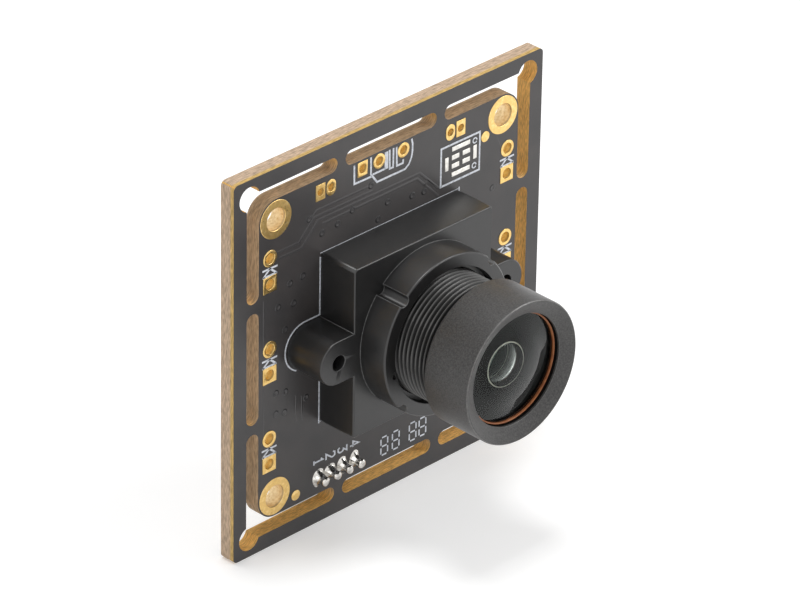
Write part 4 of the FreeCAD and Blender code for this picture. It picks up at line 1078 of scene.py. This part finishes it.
floor_material, shader = new_finish("white_floor", (0.86, 0.86, 0.86), 0.9)
shader.inputs["Emission Color"].default_value = (1, 1, 1, 1)
wire(floor_material, between(floor_material, seen_directly(floor_material), 0.0, FLOOR_GLOW),
     shader, "Emission Strength")
shape = bmesh.new()
bmesh.ops.create_grid(shape, x_segments=1, y_segments=1, size=FLOOR_SIDE / 2)
mesh = bpy.data.meshes.new("floor")
shape.to_mesh(mesh)
shape.free()
mesh.materials.append(floor_material)
floor = bpy.data.objects.new("floor", mesh)
floor.location.z = cad_low.z - FLOOR_DROP * MM
bpy.context.scene.collection.objects.link(floor)
floor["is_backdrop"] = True

world = bpy.data.worlds.new("studio")
bpy.context.scene.world = world
world.use_nodes = True
background = world.node_tree.nodes["Background"]
background.inputs["Color"].default_value = (1, 1, 1, 1)
wire(world, between(world, seen_directly(world), WORLD_ON_PIECES, WORLD_SEEN),
     background, "Strength")


def add_lamp(name, kind, power, direction, location=(0, 0, 0)):
    """A lamp that shines that way from that place."""
    light = bpy.data.lights.new(name, kind)
    light.energy = power
    lamp = bpy.data.objects.new(name, light)
    lamp.location = location
    lamp.rotation_euler = direction.to_track_quat("-Z", "Y").to_euler()
    bpy.context.scene.collection.objects.link(lamp)
    return light


for name, location, size, power in SOFT_LAMPS:
    light = add_lamp(name, "AREA", power, -Vector(location), location)
    light.shape = "DISK"
    light.size = size

# The lamp overhead is a little behind the board, so that the shadow lies close to its foot
overhead = add_lamp("overhead", "SUN", OVERHEAD_POWER, Vector(OVERHEAD_SHINES))
overhead.angle = math.radians(OVERHEAD_SPREAD)

# The photograph's view, in degrees and in millimetres
VIEW_AZIMUTH = -45.32
VIEW_ELEVATION = 29.78
VIEW_ROLL = 0.96
VIEW_DISTANCE = 534.0
VIEW_RIGHT = 2.11
VIEW_UP = -0.42
LENS_LENGTH = 270.2
SENSOR_WIDE = 36.0
azimuth = math.radians(VIEW_AZIMUTH)
elevation = math.radians(VIEW_ELEVATION)
roll = math.radians(VIEW_ROLL)
back = Vector((
    math.sin(azimuth) * math.cos(elevation), -math.cos(azimuth) * math.cos(elevation),
    math.sin(elevation)))
level = (-back).cross(Vector((0, 0, 1))).normalized()
upright = level.cross(-back)
right = math.cos(roll) * level + math.sin(roll) * upright
up = math.cos(roll) * upright - math.sin(roll) * level
camera = bpy.data.objects.new("camera", bpy.data.cameras.new("camera"))
camera.data.lens = LENS_LENGTH
camera.data.sensor_width = SENSOR_WIDE
camera.data.sensor_fit = "HORIZONTAL"
camera.data.clip_start = 0.01
camera.data.clip_end = 20.0
place_of_camera = (right * VIEW_RIGHT + up * VIEW_UP + back * VIEW_DISTANCE) * MM
camera.matrix_world = Matrix.Translation(place_of_camera) @ Matrix(
    (right, up, back)).transposed().to_4x4()
bpy.context.scene.collection.objects.link(camera)
bpy.context.scene.camera = camera
bpy.context.scene.view_settings.view_transform = "Standard"


# The dressed module's box, beside the frame's own found after the import
low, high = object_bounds()
